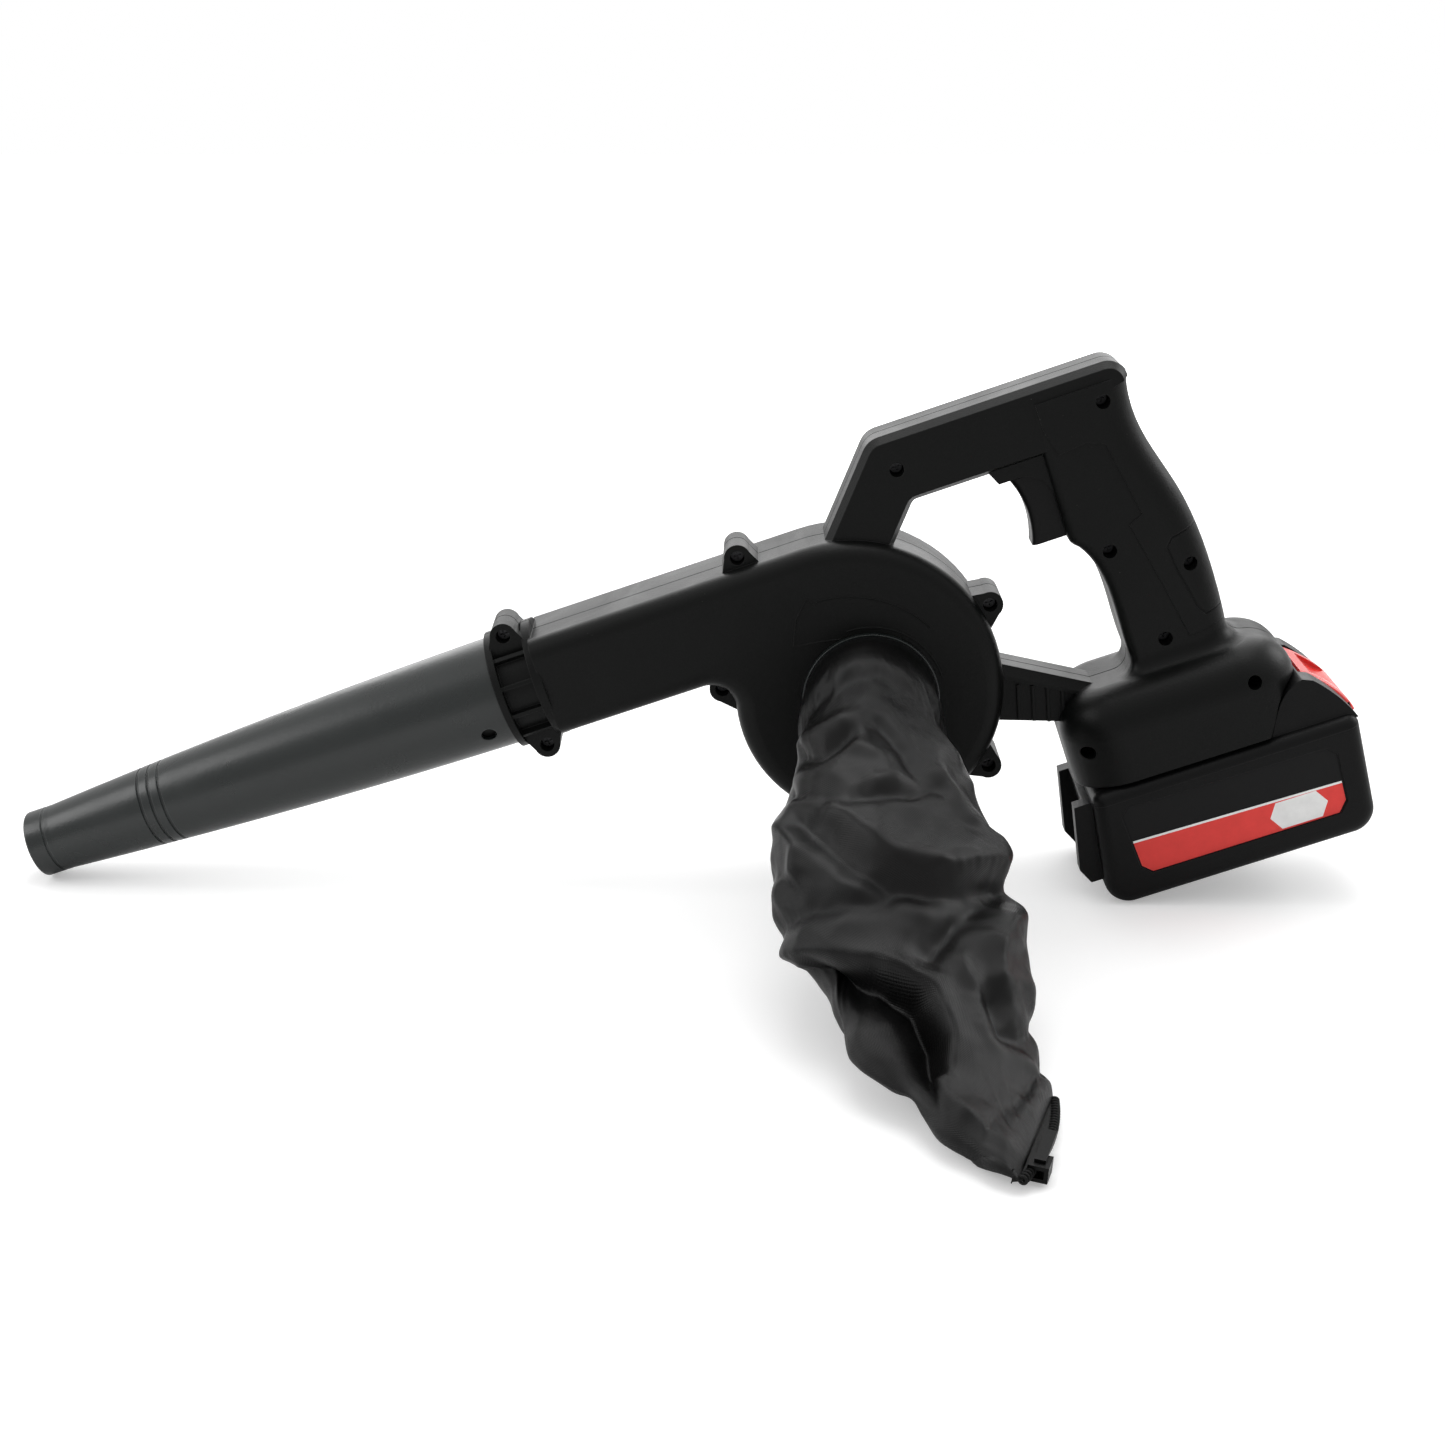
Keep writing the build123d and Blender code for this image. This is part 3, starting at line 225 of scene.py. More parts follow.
def moulded_plastic(name, colour, rough, grain, depth, radius=0.0006, worn=2.2, shine=0.14,
                    joint=None):
    """Grained plastic, duller in hand smears and paler on rubbed edges.

    Where joint gives the y of a parting plane, a dark matt line runs along it.
    """
    paint, tree = empty_paint(name)
    place = put(tree, "ShaderNodeTexCoord")
    skin = put(tree, "ShaderNodeGroup", node_tree=moulded_grain)
    skin.inputs["Grain"].default_value = grain
    tree.links.new(place.outputs["Object"], skin.inputs["Place"])
    rim = put(tree, "ShaderNodeGroup", node_tree=rubbed_edge)
    rim.inputs["Radius"].default_value = radius
    pale = tuple(c * worn + 0.004 for c in colour)
    hue = put(tree, "ShaderNodeMix", {0: rim.outputs["Edge"], 6: (*colour, 1), 7: (*pale, 1)},
              data_type="RGBA")
    dust = put(tree, "ShaderNodeMath", {0: skin.outputs["Lint"], 1: 0.5}, operation="MULTIPLY")
    hue = put(tree, "ShaderNodeMix", {0: dust.outputs[0], 6: hue.outputs[2], 7: lint_tone},
              data_type="RGBA")
    if joint is not None:
        part = put(tree, "ShaderNodeSeparateXYZ", {0: place.outputs["Object"]})
        line = put(tree, "ShaderNodeMath", {0: part.outputs["Y"], 1: joint, 2: joint_half},
                   operation="COMPARE")
        hue = put(tree, "ShaderNodeMix", {0: line.outputs[0], 6: hue.outputs[2], 7: joint_tone},
                  data_type="RGBA")
        gloss = put(tree, "ShaderNodeMapRange", {"Value": line.outputs[0], "To Min": shine,
                    "To Max": 0.0})
    dull = put(tree, "ShaderNodeMapRange", {"Value": skin.outputs["Smudge"],
               "To Min": rough - 0.05, "To Max": rough + 0.06})
    bump = put(tree, "ShaderNodeBump", {"Strength": 0.5, "Distance": depth,
               "Height": skin.outputs["Height"], "Normal": rim.outputs["Normal"]})
    body = put(tree, "ShaderNodeBsdfPrincipled", {"Base Color": hue.outputs[2],
               "Roughness": dull.outputs[0], "Normal": bump.outputs[0],
               "Specular IOR Level": shine if joint is None else gloss.outputs[0]})
    put(tree, "ShaderNodeOutputMaterial", {"Surface": body.outputs[0]})
    return paint


def finish_nodes(paint, *names):
    """Gives the CAD nodes of these names their material."""
    for name in names:
        for place in nodes[name].material_slots:
            place.material = paint


housing_plastic = moulded_plastic("housing_plastic", (0.0036, 0.0039, 0.0037), 0.4, 1500, 0.00016,
                                  joint=fan_axis.y)
finish_nodes(housing_plastic, "housing_left", "housing_right")

# Turning arrow: a raised outline on the inlet side of the scroll, moulded with the left half.
# Two arcs taper towards a chevron, which points the way the fan turns.
arrow_face = 25.0
arrow_wire = 0.00038
arrow_arcs = [  # centre back and up from the fan, radius, first and last degrees
    (-10.5, -1.5, 50.0, 28, 88),
    (0.0, 0.0, 31.8, -1, 91),
]
arrow_step = 4
arrow_head = [(-9.5, 47.5), (-12.5, 50.7), (-19.3, 43.7), (-24, 33), (-12, 31), (-4, 29.5)]


def path_curve(name, lines):
    """Object of a poly curve through each line of points."""
    curve = bpy.data.curves.new(name, "CURVE")
    curve.dimensions = "3D"
    for line in lines:
        run = curve.splines.new("POLY")
        run.points.add(len(line) - 1)
        for stop, spot in zip(run.points, line):
            stop.co = (*spot, 1)
    return show(name, curve)


def plain_mesh(source):
    """Mesh of an object with its modifiers or bevel applied; the object goes."""
    mesh = bpy.data.meshes.new_from_object(
        source.evaluated_get(bpy.context.evaluated_depsgraph_get()))
    bpy.data.objects.remove(source)
    return mesh


lines = [[(u + radius * math.cos(math.radians(turn)), v + radius * math.sin(math.radians(turn)))
          for turn in range(first, last + 1, arrow_step)]
         for u, v, radius, first, last in arrow_arcs] + [arrow_head]
arrow = path_curve("arrow", [[at(u, v, arrow_face) for u, v in line] for line in lines])
arrow.data.bevel_depth = arrow_wire
arrow.data.bevel_resolution = 2
arrow.data.use_fill_caps = True
mesh = plain_mesh(arrow)
mesh.materials.clear()
mesh.materials.append(housing_plastic)
turning_arrow = show("turning_arrow", mesh)
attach(turning_arrow, "casing")

# Screws: zinc-plated pan heads, sunk in the housing's bosses and lugs.
# They are turned steel, a little dull from handling.


def bare_metal(name, colour, rough, brush):
    """Metal with fine turning or rolling marks along its surface."""
    paint, tree = empty_paint(name)
    place = put(tree, "ShaderNodeTexCoord")
    marks = put(tree, "ShaderNodeTexNoise", {"Vector": place.outputs["Object"],
                "Scale": brush, "Detail": 3.0, "Roughness": 0.7})
    dull = put(tree, "ShaderNodeMapRange", {"Value": marks.outputs[0],
               "To Min": rough - 0.1, "To Max": rough + 0.12})
    dark = tuple(c * 0.75 for c in colour)
    hue = put(tree, "ShaderNodeMix", {0: marks.outputs[0], 6: (*dark, 1), 7: (*colour, 1)},
              data_type="RGBA")
    bump = put(tree, "ShaderNodeBump", {"Strength": 0.2, "Distance": 0.00005,
               "Height": marks.outputs[0]})
    body = put(tree, "ShaderNodeBsdfPrincipled", {"Base Color": hue.outputs[2],
               "Roughness": dull.outputs[0], "Metallic": 1.0, "Normal": bump.outputs[0]})
    put(tree, "ShaderNodeOutputMaterial", {"Surface": body.outputs[0]})
    return paint


zinc = bare_metal("zinc_plated_steel", (0.05, 0.05, 0.052), 0.4, 900)
finish_nodes(zinc, "housing_screws", "motor_screws", "fan_nut")

# Nozzle: one tapered blow-moulded tube of black plastic, smoother than the housing,
# pushed over the spigot of the collar. The bag's ring is moulded from the same plastic.
nozzle_plastic = moulded_plastic("nozzle_plastic", (0.0085, 0.0112, 0.0108), 0.31, 700, 0.0001,
                                 worn=2.6, shine=0.55)
finish_nodes(nozzle_plastic, "nozzle", "bag_ring")

# Fan and motor: a moulded nylon fan on the shaft of a drawn-steel brush motor.
# They sit in the scroll and the dome, and only slivers of them show through the vents.
fan_nylon = moulded_plastic("fan_nylon", (0.03, 0.03, 0.03), 0.45, 900, 0.0001)
finish_nodes(fan_nylon, "fan")
drawn_steel = bare_metal("drawn_steel", (0.36, 0.36, 0.37), 0.35, 500)
finish_nodes(drawn_steel, "motor_can", "rotor_core")
ground_steel = bare_metal("ground_steel", (0.6, 0.6, 0.62), 0.22, 1500)
finish_nodes(ground_steel, "motor_bearings", "motor_shaft")
copper = bare_metal("copper", (0.72, 0.36, 0.18), 0.3, 800)
finish_nodes(copper, "rotor_windings", "commutator")
ferrite = moulded_plastic("ferrite", (0.05, 0.05, 0.055), 0.6, 600, 0.0001)
finish_nodes(ferrite, "motor_magnets")
graphite = moulded_plastic("graphite", (0.03, 0.03, 0.032), 0.5, 900, 0.0001)
finish_nodes(graphite, "motor_brushes")

# Trigger and switch: a satin black trigger that slides back into the grip,
# on the plunger of a boxed switch. The motor's end cap, the terminal block and the cell holders
# are of the same plain plastic, and the terminals are of tinned brass.
trigger_plastic = moulded_plastic("trigger_plastic", (0.005, 0.005, 0.005), 0.34, 900, 0.0001)
finish_nodes(trigger_plastic, "trigger")
switch_plastic = moulded_plastic("switch_plastic", (0.02, 0.02, 0.022), 0.45, 900, 0.0001)
finish_nodes(switch_plastic, "switch_body", "switch_plunger", "motor_end_cap",
             "terminal_block", "cell_holders")
brass = bare_metal("tinned_brass", (0.75, 0.6, 0.32), 0.3, 900)
finish_nodes(brass, "terminal_blades", "battery_contacts")

# Battery: a tub and a lid of grained black plastic round two rows of cells,
# with a glossy red button at the back and a shallow seat for a label on each side.
battery_plastic = moulded_plastic("battery_plastic", (0.004, 0.0041, 0.0042), 0.4, 1500, 0.00016)
finish_nodes(battery_plastic, "battery_tub", "battery_lid")
button_red = moulded_plastic("button_red", (0.72, 0.025, 0.018), 0.2, 500, 0.00003, worn=1.2,
                             shine=0.6)
finish_nodes(button_red, "release_button")
cell_sleeve = moulded_plastic("cell_sleeve", (0.03, 0.12, 0.25), 0.3, 500, 0.00004)
finish_nodes(cell_sleeve, "cells")
nickel = bare_metal("nickel_strip", (0.62, 0.6, 0.56), 0.3, 900)
finish_nodes(nickel, "cell_strips")
board_green = moulded_plastic("board_green", (0.02, 0.14, 0.06), 0.35, 500, 0.00005)
finish_nodes(board_green, "battery_board")

# Dust bag: a sewn tube of thin black woven nylon, clamped on the neck of its ring and closed by a
# zip at the far end. It hangs from the port, folds over itself where the belly meets the lower
# half and lies on the table, so it is lofted, settles as cloth and then gets its set creases.
bag_neck = 0.0289
bag_stations = [  # right and away from the fan axis, height over the table, heading, dip, halves
    (0.0, -0.0295, fan_axis.z, 0, 0, bag_neck, bag_neck),
    (-0.0015, -0.045, fan_axis.z - 0.001, 0, 6, bag_neck + 0.0006, bag_neck + 0.0006),
    (-0.0005, -0.086, fan_axis.z - 0.015, 2, 22, 0.038, 0.031),
    (0.001, -0.136, fan_axis.z - 0.037, 6, 26, 0.0485, 0.033),
    (0.013, -0.181, 0.032, 18, 24, 0.042, 0.023),
    (0.031, -0.223, 0.016, 48, 14, 0.0355, 0.012),
    (0.0455, -0.256, 0.005, 72, 4, 0.031, 0.0022),
]
bag_steps = (6, 16, 22, 24, 20, 14)
bag_round = 128
bag_girth = 0.25
bag_floor = 0.001
neck_held, neck_ease = 1.0, 0.4  # stations up to which the ring holds the cloth
zip_held, zip_ease = 5.92, 0.3  # station from which the zip does
bag_slack = 0.06
bag_puff = 1.2
bag_weight = 0.12
bag_ticks = 18
bag_cap = 0.0045
crease_start, crease_ease = 1.1, 0.4
crease_power = 1.5
crease_cuts = 8
station_turn = 60  # degrees round the bag that are about as long as one station
crumple_scale, crumple_depth = 34, 0.0034
wrinkle_scale, wrinkle_depth = 85, 0.0012
wrinkle_shift = Vector((3, 1, 2))  # keeps the two noises apart
crumple_power, crumple_mean = 0.8, 0.25
bag_creases = [  # rise, reach before and past the line, (station, degrees from the right)
    (0.004, 0.018, 0.006, [(3.4, 205), (3.6, 178), (3.9, 142), (4.15, 116), (4.4, 106),
                           (4.7, 112), (4.9, 130), (5.1, 152), (5.5, 148), (5.9, 138)]),
    (-0.016, 0.008, 0.024, [(3.8, 174), (3.92, 158), (4.1, 134), (4.35, 120), (4.65, 124),
                            (4.85, 142)]),
    (-0.0055, 0.013, 0.009, [(2.7, 142), (2.95, 128), (3.25, 116), (3.5, 102), (3.6, 84),
                             (3.55, 62), (3.3, 30)]),
    (0.0045, 0.016, 0.010, [(2.75, 116), (3.0, 106), (3.25, 94), (3.35, 70), (3.1, 26)]),
    (-0.0045, 0.010, 0.008, [(2.3, 160), (2.45, 136), (2.7, 112), (2.68, 82), (2.55, 62)]),
    (-0.007, 0.012, 0.014, [(3.2, 8), (3.6, 50), (3.8, 72), (4.0, 88), (4.1, 98)]),
    (0.005, 0.012, 0.014, [(3.3, 2), (3.75, 40), (4.1, 56), (4.4, 62)]),
    (0.004, 0.012, 0.008, [(1.75, 160), (1.85, 138), (1.85, 112)]),
    (-0.005, 0.009, 0.009, [(1.95, 152), (2.1, 130), (2.0, 110)]),
    (0.0035, 0.012, 0.008, [(2.15, 106), (2.3, 92), (2.5, 88), (2.6, 98)]),
    (-0.004, 0.009, 0.009, [(1.9, 92), (2.2, 80), (2.45, 74)]),
    (0.0035, 0.010, 0.010, [(4.15, 84), (4.5, 82), (4.8, 90)]),
    (-0.0045, 0.010, 0.010, [(4.85, 4), (5.05, 56), (4.9, 76), (4.55, 74)]),
    (-0.004, 0.010, 0.008, [(3.35, 196), (3.45, 150), (3.55, 124), (3.6, 106)]),
    (0.004, 0.009, 0.007, [(2.45, 180), (2.7, 152), (2.95, 140), (3.15, 148)]),
    (-0.003, 0.008, 0.008, [(2.9, 178), (3.05, 160), (3.3, 152)]),
    (0.003, 0.009, 0.007, [(2.4, 60), (2.8, 48), (3.0, 20)]),
    (0.006, 0.016, 0.014, [(4.4, 190), (4.8, 184), (5.2, 180), (5.6, 178), (5.85, 176)]),
]


def bag_axes(heading, dip):
    """Directions across the bag and on along it, from its heading and dip in degrees."""
    heading, dip = math.radians(heading), math.radians(dip)
    across = Vector((math.cos(heading), math.sin(heading), 0))
    away = Vector((math.sin(heading) * math.cos(dip), -math.cos(heading) * math.cos(dip),
                   -math.sin(dip)))
    return across, away


def bag_point(along, degrees):
    """Point of the smooth bag: a Catmull-Rom curve through the stations, an oval across."""
    first = min(int(along), len(bag_stations) - 2)
    part = along - first
    low, high = Vector(bag_stations[first]), Vector(bag_stations[first + 1])
    before = Vector(bag_stations[first - 1]) if first else 2 * low - high
    after = Vector(bag_stations[first + 2]) if first < len(bag_stations) - 2 else 2 * high - low
    here = 0.5 * (2 * low + (high - before) * part
                  + (2 * before - 5 * low + 4 * high - after) * part ** 2
                  + (3 * low - before - 3 * high + after) * part ** 3)
    across, away = bag_axes(here[3], here[4])
    turn = math.radians(degrees)
    centre = Vector((fan_axis.x + here[0], fan_axis.y + here[1], here[2]))
    return centre + across * (here[5] * math.cos(turn)) + away.cross(across) * (
        here[6] * math.sin(turn))


stations = [span + step / count for span, count in enumerate(bag_steps) for step in range(count)]
stations.append(len(bag_steps))
cut = bmesh.new()
threads = cut.loops.layers.uv.new("threads")
rings = [[cut.verts.new(bag_point(along, 360 * k / bag_round)) for k in range(bag_round)]
         for along in stations]
lengths = [0.0]
for near, far in zip(rings, rings[1:]):
    lengths.append(lengths[-1] + sum((a.co - b.co).length for a, b in zip(near, far)) / bag_round)
for n, (near, far) in enumerate(zip(rings, rings[1:])):
    for k in range(bag_round):
        follow = (k + 1) % bag_round
        panel = cut.faces.new((near[k], near[follow], far[follow], far[k]))
        corners = ((k, n), (k + 1, n), (k + 1, n + 1), (k, n + 1))
        for loop, (i, ring) in zip(panel.loops, corners):
            loop[threads].uv = (i * bag_girth / bag_round, lengths[ring])
end, half = rings[-1], bag_round // 2
for k in range(1, half - 1):
    cut.faces.new((end[k], end[k + 1], end[-k - 1], end[-k]))
cut.faces.new((end[0], end[1], end[-1]))
cut.faces.new((end[half - 1], end[half], end[half + 1]))
bmesh.ops.recalc_face_normals(cut, faces=cut.faces)
mesh = bpy.data.meshes.new("dust_bag_cloth")
cut.to_mesh(mesh)
cut.free()

woven_nylon, inlet, outlet = effect(
    "woven_nylon",
    [("Threads", "Vector", None), ("Pitch", "Float", 0.0009)],
    [("Height", "Float"), ("Wear", "Float")],
)
turns = put(woven_nylon, "ShaderNodeMath", {0: math.tau, 1: inlet.outputs["Pitch"]},
            operation="DIVIDE")
weft = put(woven_nylon, "ShaderNodeVectorMath", {0: inlet.outputs["Threads"],
           "Scale": turns.outputs[0]}, operation="SCALE")
weft = put(woven_nylon, "ShaderNodeSeparateXYZ", {0: weft.outputs[0]})
over = put(woven_nylon, "ShaderNodeMath", {0: weft.outputs["X"]}, operation="SINE")
under = put(woven_nylon, "ShaderNodeMath", {0: weft.outputs["Y"]}, operation="SINE")
plait = put(woven_nylon, "ShaderNodeMath", {0: over.outputs[0], 1: under.outputs[0]},
            operation="MULTIPLY")
rubs = put(woven_nylon, "ShaderNodeTexNoise", {"Vector": inlet.outputs["Threads"],
           "Scale": 24.0, "Detail": 4.0, "Roughness": 0.6})
woven_nylon.links.new(plait.outputs[0], outlet.inputs["Height"])
woven_nylon.links.new(rubs.outputs[0], outlet.inputs["Wear"])

nylon, tree = empty_paint("black_nylon")
lay = put(tree, "ShaderNodeUVMap", uv_map="threads")
weave = put(tree, "ShaderNodeGroup", node_tree=woven_nylon)
tree.links.new(lay.outputs[0], weave.inputs["Threads"])
# The weave's height scales the colour from 0.3 to 1.3 times: painted shade in the thread valleys
# and a painted highlight on the thread crossings.
shade = put(tree, "ShaderNodeMapRange", {"Value": weave.outputs["Height"], "From Min": -1.0,
            "To Min": 0.3, "To Max": 1.3})
tone = put(tree, "ShaderNodeMix", {0: weave.outputs["Wear"], 6: (0.002, 0.0028, 0.003, 1),
           7: (0.0056, 0.0046, 0.0045, 1)}, data_type="RGBA")
tone = put(tree, "ShaderNodeMix", {0: 1.0, 6: tone.outputs[2], 7: shade.outputs[0]},
           data_type="RGBA", blend_type="MULTIPLY")
dull = put(tree, "ShaderNodeMapRange", {"Value": weave.outputs["Wear"], "To Min": 0.24,
           "To Max": 0.38})
bump = put(tree, "ShaderNodeBump", {"Strength": 0.4, "Distance": 0.00012,
           "Height": weave.outputs["Height"]})
body = put(tree, "ShaderNodeBsdfPrincipled", {"Base Color": tone.outputs[2],
           "Roughness": dull.outputs[0], "Specular IOR Level": 0.2, "Normal": bump.outputs[0]})
put(tree, "ShaderNodeOutputMaterial", {"Surface": body.outputs[0]})
mesh.materials.append(nylon)

bag_cloth = show("dust_bag_cloth", mesh)
held = bag_cloth.vertex_groups.new(name="held")
for ring, along in enumerate(stations):
    grip = max(1 - max(0.0, along - neck_held) / neck_ease,
               1 - max(0.0, zip_held - along) / zip_ease)
    if grip > 0:
        held.add(range(ring * bag_round, (ring + 1) * bag_round), min(1.0, grip), "REPLACE")
start = [vert.co.copy() for vert in mesh.vertices]
settle = bag_cloth.modifiers.new("settle", "CLOTH")
settle.settings.quality = 5
settle.settings.mass = 0.12
settle.settings.tension_stiffness = 12
settle.settings.compression_stiffness = 12
settle.settings.shear_stiffness = 4
settle.settings.bending_stiffness = 0.15
settle.settings.vertex_group_mass = "held"
settle.settings.shrink_min = -bag_slack
settle.settings.use_pressure = True
settle.settings.uniform_pressure_force = bag_puff
settle.settings.effector_weights.gravity = bag_weight
settle.collision_settings.use_collision = False
for tick in range(1, bag_ticks + 1):
    scene.frame_set(tick)
shape = bag_cloth.evaluated_get(bpy.context.evaluated_depsgraph_get()).data
settled = [vert.co.copy() for vert in shape.vertices]
bag_cloth.modifiers.remove(settle)
scene.frame_set(1)
for vert, old, new in zip(mesh.vertices, start, settled):
    move = new - old
    far = move.length
    vert.co = old + move * (min(1.0, bag_cap / far) if far else 0.0)

traces = []
for rise, before, past, stops in bag_creases:
    trace = []
    for (a, p), (b, q) in zip(stops, stops[1:]):
        for f in range(crease_cuts):
            along, turn = a + (b - a) * f / crease_cuts, p + (q - p) * f / crease_cuts
            trace.append((bag_point(along, turn), along, turn, b - a, (q - p) / station_turn))
    traces.append((rise, before, past, trace))
moves = []
for index in range(len(stations) * bag_round):
    vert = mesh.vertices[index]
    along, turn = stations[index // bag_round], 360 * (index % bag_round) / bag_round
    ease = min(1.0, max(0.0, (along - crease_start) / crease_ease),
               (len(bag_steps) - along) / crease_ease)
    push = 0.0
    for rise, before, past, trace in traces:
        spot, line_along, line_turn, run, climb = min(
            trace, key=lambda stop: (stop[0] - start[index]).length_squared)
        side = run * (turn - line_turn) / station_turn - climb * (along - line_along)
        reach = past if side > 0 else before
        near = (spot - start[index]).length
        if near < reach:
            push += rise * (1 - near / reach) ** crease_power
    rough = noise.noise(start[index] * crumple_scale)
    fine = noise.noise(start[index] * wrinkle_scale + wrinkle_shift)
    push -= (crumple_depth * (abs(rough) ** crumple_power - crumple_mean)
             + wrinkle_depth * (abs(fine) ** crumple_power - crumple_mean))
    moves.append(vert.normal * (push * ease))
for vert, move in zip(mesh.vertices, moves):
    vert.co += move
for vert in mesh.vertices:
    vert.co.z = max(vert.co.z, bag_floor)
for panel in mesh.polygons:
    panel.use_smooth = True
finer = bag_cloth.modifiers.new("finer", "SUBSURF")
finer.levels = finer.render_levels = 1
finer.uv_smooth = "NONE"
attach(bag_cloth, "bag")
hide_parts("dust_bag")

# Zip: a nylon coil on two woven tapes, sewn into the flat end of the bag, with a small slider.
# The coil bows outwards between the corners of the bag, and a row of stitches holds each tape.
zip_half = 0.0295
zip_low = 0.0006
zip_bow = 0.0036
zip_cuts = 40
tape_back = 0.003
tape_over = 0.001
tape_seam = 0.0012  # half thickness where it is sewn in
tape_bend = 0.0012  # how far behind the coil it starts to thin
tape_waist = 0.0009
tape_edge = 0.0002
coil_cuts = 60
coil_turn = 0.0019
coil_radius = 0.0014
coil_wire = 0.0006
stitch_span = 0.97
stitch_back = 0.0032
stitch_lift = 0.0026
stitch_pitch = 0.0026
stitch_length = 0.0019
stitch_wire = 0.00026
zip_across, zip_away = bag_axes(*bag_stations[-1][3:5])
zip_up = zip_away.cross(zip_across)
zip_middle = Vector((fan_axis.x + bag_stations[-1][0], fan_axis.y + bag_stations[-1][1],
                     bag_stations[-1][2]))


def zip_edge(share):
    """Point on the coil's line; share runs from -1 to 1 along the seam."""
    return zip_middle + zip_across * (share * zip_half) + zip_away * (
        zip_low + zip_bow * (1 - share * share))


tape = bmesh.new()
rows = []
for n in range(zip_cuts + 1):
    share = -1 + 2 * n / zip_cuts
    edge = zip_edge(share)
    bend = edge - zip_away * tape_bend
    base = zip_middle + zip_across * (share * (zip_half + tape_over)) - zip_away * tape_back
    rows.append([tape.verts.new(spot) for spot in (
        base + zip_up * tape_seam, bend + zip_up * tape_waist, edge + zip_up * tape_edge,
        edge - zip_up * tape_edge, bend - zip_up * tape_waist, base - zip_up * tape_seam)])
for near, far in zip(rows, rows[1:]):
    for k in range(len(near)):
        follow = (k + 1) % len(near)
        tape.faces.new((near[k], far[k], far[follow], near[follow]))
tape.faces.new(rows[0])
tape.faces.new(rows[-1])
bmesh.ops.recalc_face_normals(tape, faces=tape.faces)
mesh = bpy.data.meshes.new("zip_tape")
tape.to_mesh(mesh)
tape.free()
zip_plastic = moulded_plastic("zip_plastic", (0.006, 0.006, 0.006), 0.42, 2600, 0.0002)
mesh.materials.append(zip_plastic)
zip_tape = show("zip_tape", mesh)
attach(zip_tape, "bag")
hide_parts("zipper")


def along_path(name, paint, rings):
    """Node tree that sets rings across a curve, or else short bars along it."""
    tree = bpy.data.node_groups.new(name, "GeometryNodeTree")
    tree.interface.new_socket("Geometry", in_out="INPUT", socket_type="NodeSocketGeometry")
    for title in ("Pitch", "Wire", "Size"):
        tree.interface.new_socket(title, in_out="INPUT", socket_type="NodeSocketFloat")
    tree.interface.new_socket("Geometry", in_out="OUTPUT", socket_type="NodeSocketGeometry")
    inlet, outlet = put(tree, "NodeGroupInput"), put(tree, "NodeGroupOutput")
    spaced = put(tree, "GeometryNodeCurveToPoints", {"Curve": inlet.outputs["Geometry"],
                 "Length": inlet.outputs["Pitch"]}, mode="LENGTH")
    if rings:
        line = put(tree, "GeometryNodeCurvePrimitiveCircle", {"Resolution": 12,
                   "Radius": inlet.outputs["Size"]})
    else:
        tip = put(tree, "ShaderNodeCombineXYZ", {"Z": inlet.outputs["Size"]})
        line = put(tree, "GeometryNodeCurvePrimitiveLine", {"End": tip.outputs[0]})
    round_wire = put(tree, "GeometryNodeCurvePrimitiveCircle", {"Resolution": 6,
                     "Radius": inlet.outputs["Wire"]})
    solid = put(tree, "GeometryNodeCurveToMesh", {"Curve": line.outputs["Curve"],
                "Profile Curve": round_wire.outputs["Curve"], "Fill Caps": True})
    placed = put(tree, "GeometryNodeInstanceOnPoints", {"Points": spaced.outputs["Points"],
                 "Instance": solid.outputs[0], "Rotation": spaced.outputs["Rotation"]})
    real = put(tree, "GeometryNodeRealizeInstances", {"Geometry": placed.outputs[0]})
    done = put(tree, "GeometryNodeSetMaterial", {"Geometry": real.outputs[0], "Material": paint})
    tree.links.new(done.outputs[0], outlet.inputs[0])
    return tree


def follow_path(name, path, tree, **sizes):
    """Runs the tree on the path with its named sizes and gives the result as a plain piece."""
    maker = path.modifiers.new("maker", "NODES")
    maker.node_group = tree
    for item in tree.interface.items_tree:
        if item.in_out == "INPUT" and item.name in sizes:
            maker[item.identifier] = sizes[item.name]
    return show(name, plain_mesh(path))


coil_work = along_path("coil_work", zip_plastic, rings=True)
stitch_work = along_path("stitch_work", zip_plastic, rings=False)
row = [zip_edge(-1 + 2 * n / coil_cuts) for n in range(coil_cuts + 1)]
zip_coil = follow_path("zip_coil", path_curve("coil_path", [row]), coil_work, Pitch=coil_turn,
                       Wire=coil_wire, Size=coil_radius)
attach(zip_coil, "bag")
for name, side in (("stitches_top", 1), ("stitches_under", -1)):
    seam = zip_middle - zip_away * stitch_back + zip_up * (side * stitch_lift)
    row = [seam + zip_across * (zip_half * stitch_span * (-1 + 2 * n / zip_cuts))
           for n in range(zip_cuts + 1)]
    stitches = follow_path(name, path_curve("stitch_path", [row]), stitch_work,
                           Pitch=stitch_pitch, Wire=stitch_wire, Size=stitch_length)
    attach(stitches, "bag")
slider_metal = bare_metal("blackened_zinc", (0.016, 0.016, 0.016), 0.4, 700)
finish_nodes(slider_metal, "zip_slider")

# Label: a printed film stuck in the shallow seat on the bag's side of the battery.
# Black above and red below a white line, with a bare white plate; nothing is written on it.
label_face = 36.55
label_thick = 0.3
label_margin = 0.8
label_outline = [(90, -79.5), (178, -81), (182, -85), (181, -107), (177, -112), (92, -112),
                 (88, -108), (86.5, -83)]
label_line = -94.3
label_tilt = 0.0237
stripe_rise = 0.3
stripe_half = 0.5
plate_middle = (160.0, -104.8)
plate_half = (12.8, 6.2)
plate_lean = 0.62
print_scale = 0.01  # print coordinates of one millimetre
middle = Vector((sum(u for u, v in label_outline), sum(v for u, v in label_outline)))
middle /= len(label_outline)
inside = []
for u, v in label_outline:
    spot = Vector((u, v))
    inside.append(spot + (middle - spot).normalized() * label_margin)
film = bmesh.new()
print_place = film.loops.layers.uv.new("print")
front = [film.verts.new(at(spot.x, spot.y, label_face)) for spot in inside]
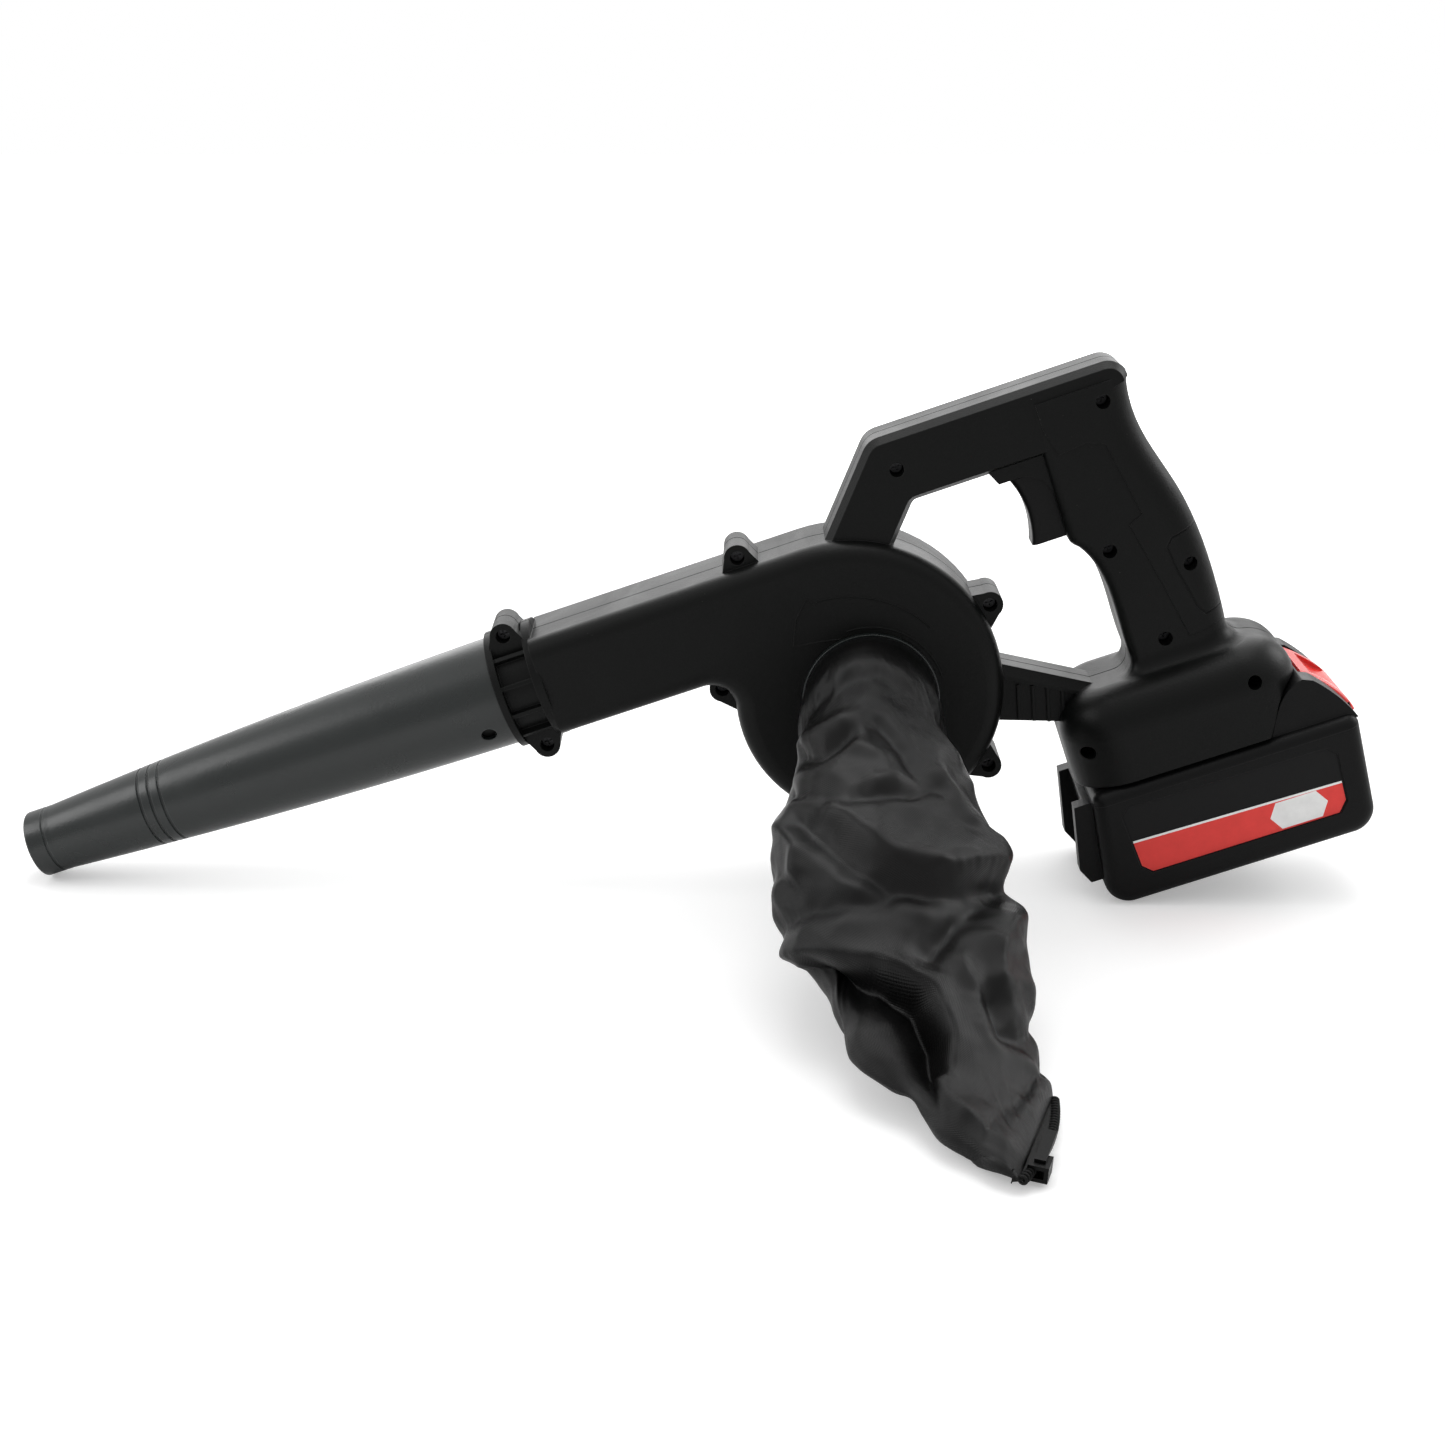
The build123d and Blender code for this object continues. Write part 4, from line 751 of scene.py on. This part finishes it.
rear = [film.verts.new(at(spot.x, spot.y, label_face - label_thick)) for spot in inside]
flat_of = dict(zip(front + rear, inside + inside))
film.faces.new(front)
film.faces.new(rear)
for k in range(len(inside)):
    follow = (k + 1) % len(inside)
    film.faces.new((front[k], rear[k], rear[follow], front[follow]))
bmesh.ops.recalc_face_normals(film, faces=film.faces)
for panel in film.faces:
    for loop in panel.loops:
        loop[print_place].uv = flat_of[loop.vert] * print_scale
mesh = bpy.data.meshes.new("battery_label")
film.to_mesh(mesh)
film.free()

label_print, tree = empty_paint("label_print")
lay = put(tree, "ShaderNodeUVMap", uv_map="print")
part = put(tree, "ShaderNodeSeparateXYZ", {0: lay.outputs[0]})
slant = put(tree, "ShaderNodeMath", {0: part.outputs["X"], 1: label_tilt, 2: part.outputs["Y"]},
            operation="MULTIPLY_ADD")
below = put(tree, "ShaderNodeMath", {0: slant.outputs[0], 1: label_line * print_scale},
            operation="LESS_THAN")
stripe = put(tree, "ShaderNodeMath", {0: slant.outputs[0],
             1: (label_line + stripe_rise) * print_scale, 2: stripe_half * print_scale},
             operation="COMPARE")
shift = put(tree, "ShaderNodeVectorMath", {0: lay.outputs[0],
            1: (plate_middle[0] * print_scale, plate_middle[1] * print_scale, 0)},
            operation="SUBTRACT")
shift = put(tree, "ShaderNodeVectorMath", {0: shift.outputs[0]}, operation="ABSOLUTE")
side = put(tree, "ShaderNodeSeparateXYZ", {0: shift.outputs[0]})
lean = put(tree, "ShaderNodeMath", {0: side.outputs["Y"], 1: plate_lean, 2: side.outputs["X"]},
           operation="MULTIPLY_ADD")
wide = put(tree, "ShaderNodeMath", {0: lean.outputs[0], 1: plate_half[0] * print_scale},
           operation="LESS_THAN")
tall = put(tree, "ShaderNodeMath", {0: side.outputs["Y"], 1: plate_half[1] * print_scale},
           operation="LESS_THAN")
plate = put(tree, "ShaderNodeMath", {0: wide.outputs[0], 1: tall.outputs[0]},
            operation="MULTIPLY")
white = put(tree, "ShaderNodeMath", {0: plate.outputs[0], 1: stripe.outputs[0]},
            operation="MAXIMUM")
scuff = put(tree, "ShaderNodeTexNoise", {"Vector": lay.outputs[0], "Scale": 14.0, "Detail": 5.0,
            "Roughness": 0.65})
ink = put(tree, "ShaderNodeMix", {0: below.outputs[0], 6: (0.006, 0.006, 0.0063, 1),
          7: (0.85, 0.07, 0.062, 1)}, data_type="RGBA")
ink = put(tree, "ShaderNodeMix", {0: white.outputs[0], 6: ink.outputs[2],
          7: (0.93, 0.93, 0.92, 1)}, data_type="RGBA")
worn = put(tree, "ShaderNodeMapRange", {"Value": scuff.outputs[0], "To Min": 0.85, "To Max": 1.1})
ink = put(tree, "ShaderNodeMix", {0: 1.0, 6: ink.outputs[2], 7: worn.outputs[0]},
          data_type="RGBA", blend_type="MULTIPLY")
dull = put(tree, "ShaderNodeMapRange", {"Value": scuff.outputs[0], "To Min": 0.3, "To Max": 0.45})
body = put(tree, "ShaderNodeBsdfPrincipled", {"Base Color": ink.outputs[2],
           "Roughness": dull.outputs[0], "Specular IOR Level": 0.15})
put(tree, "ShaderNodeOutputMaterial", {"Surface": body.outputs[0]})
mesh.materials.append(label_print)
battery_label = show("battery_label", mesh)
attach(battery_label, "battery")
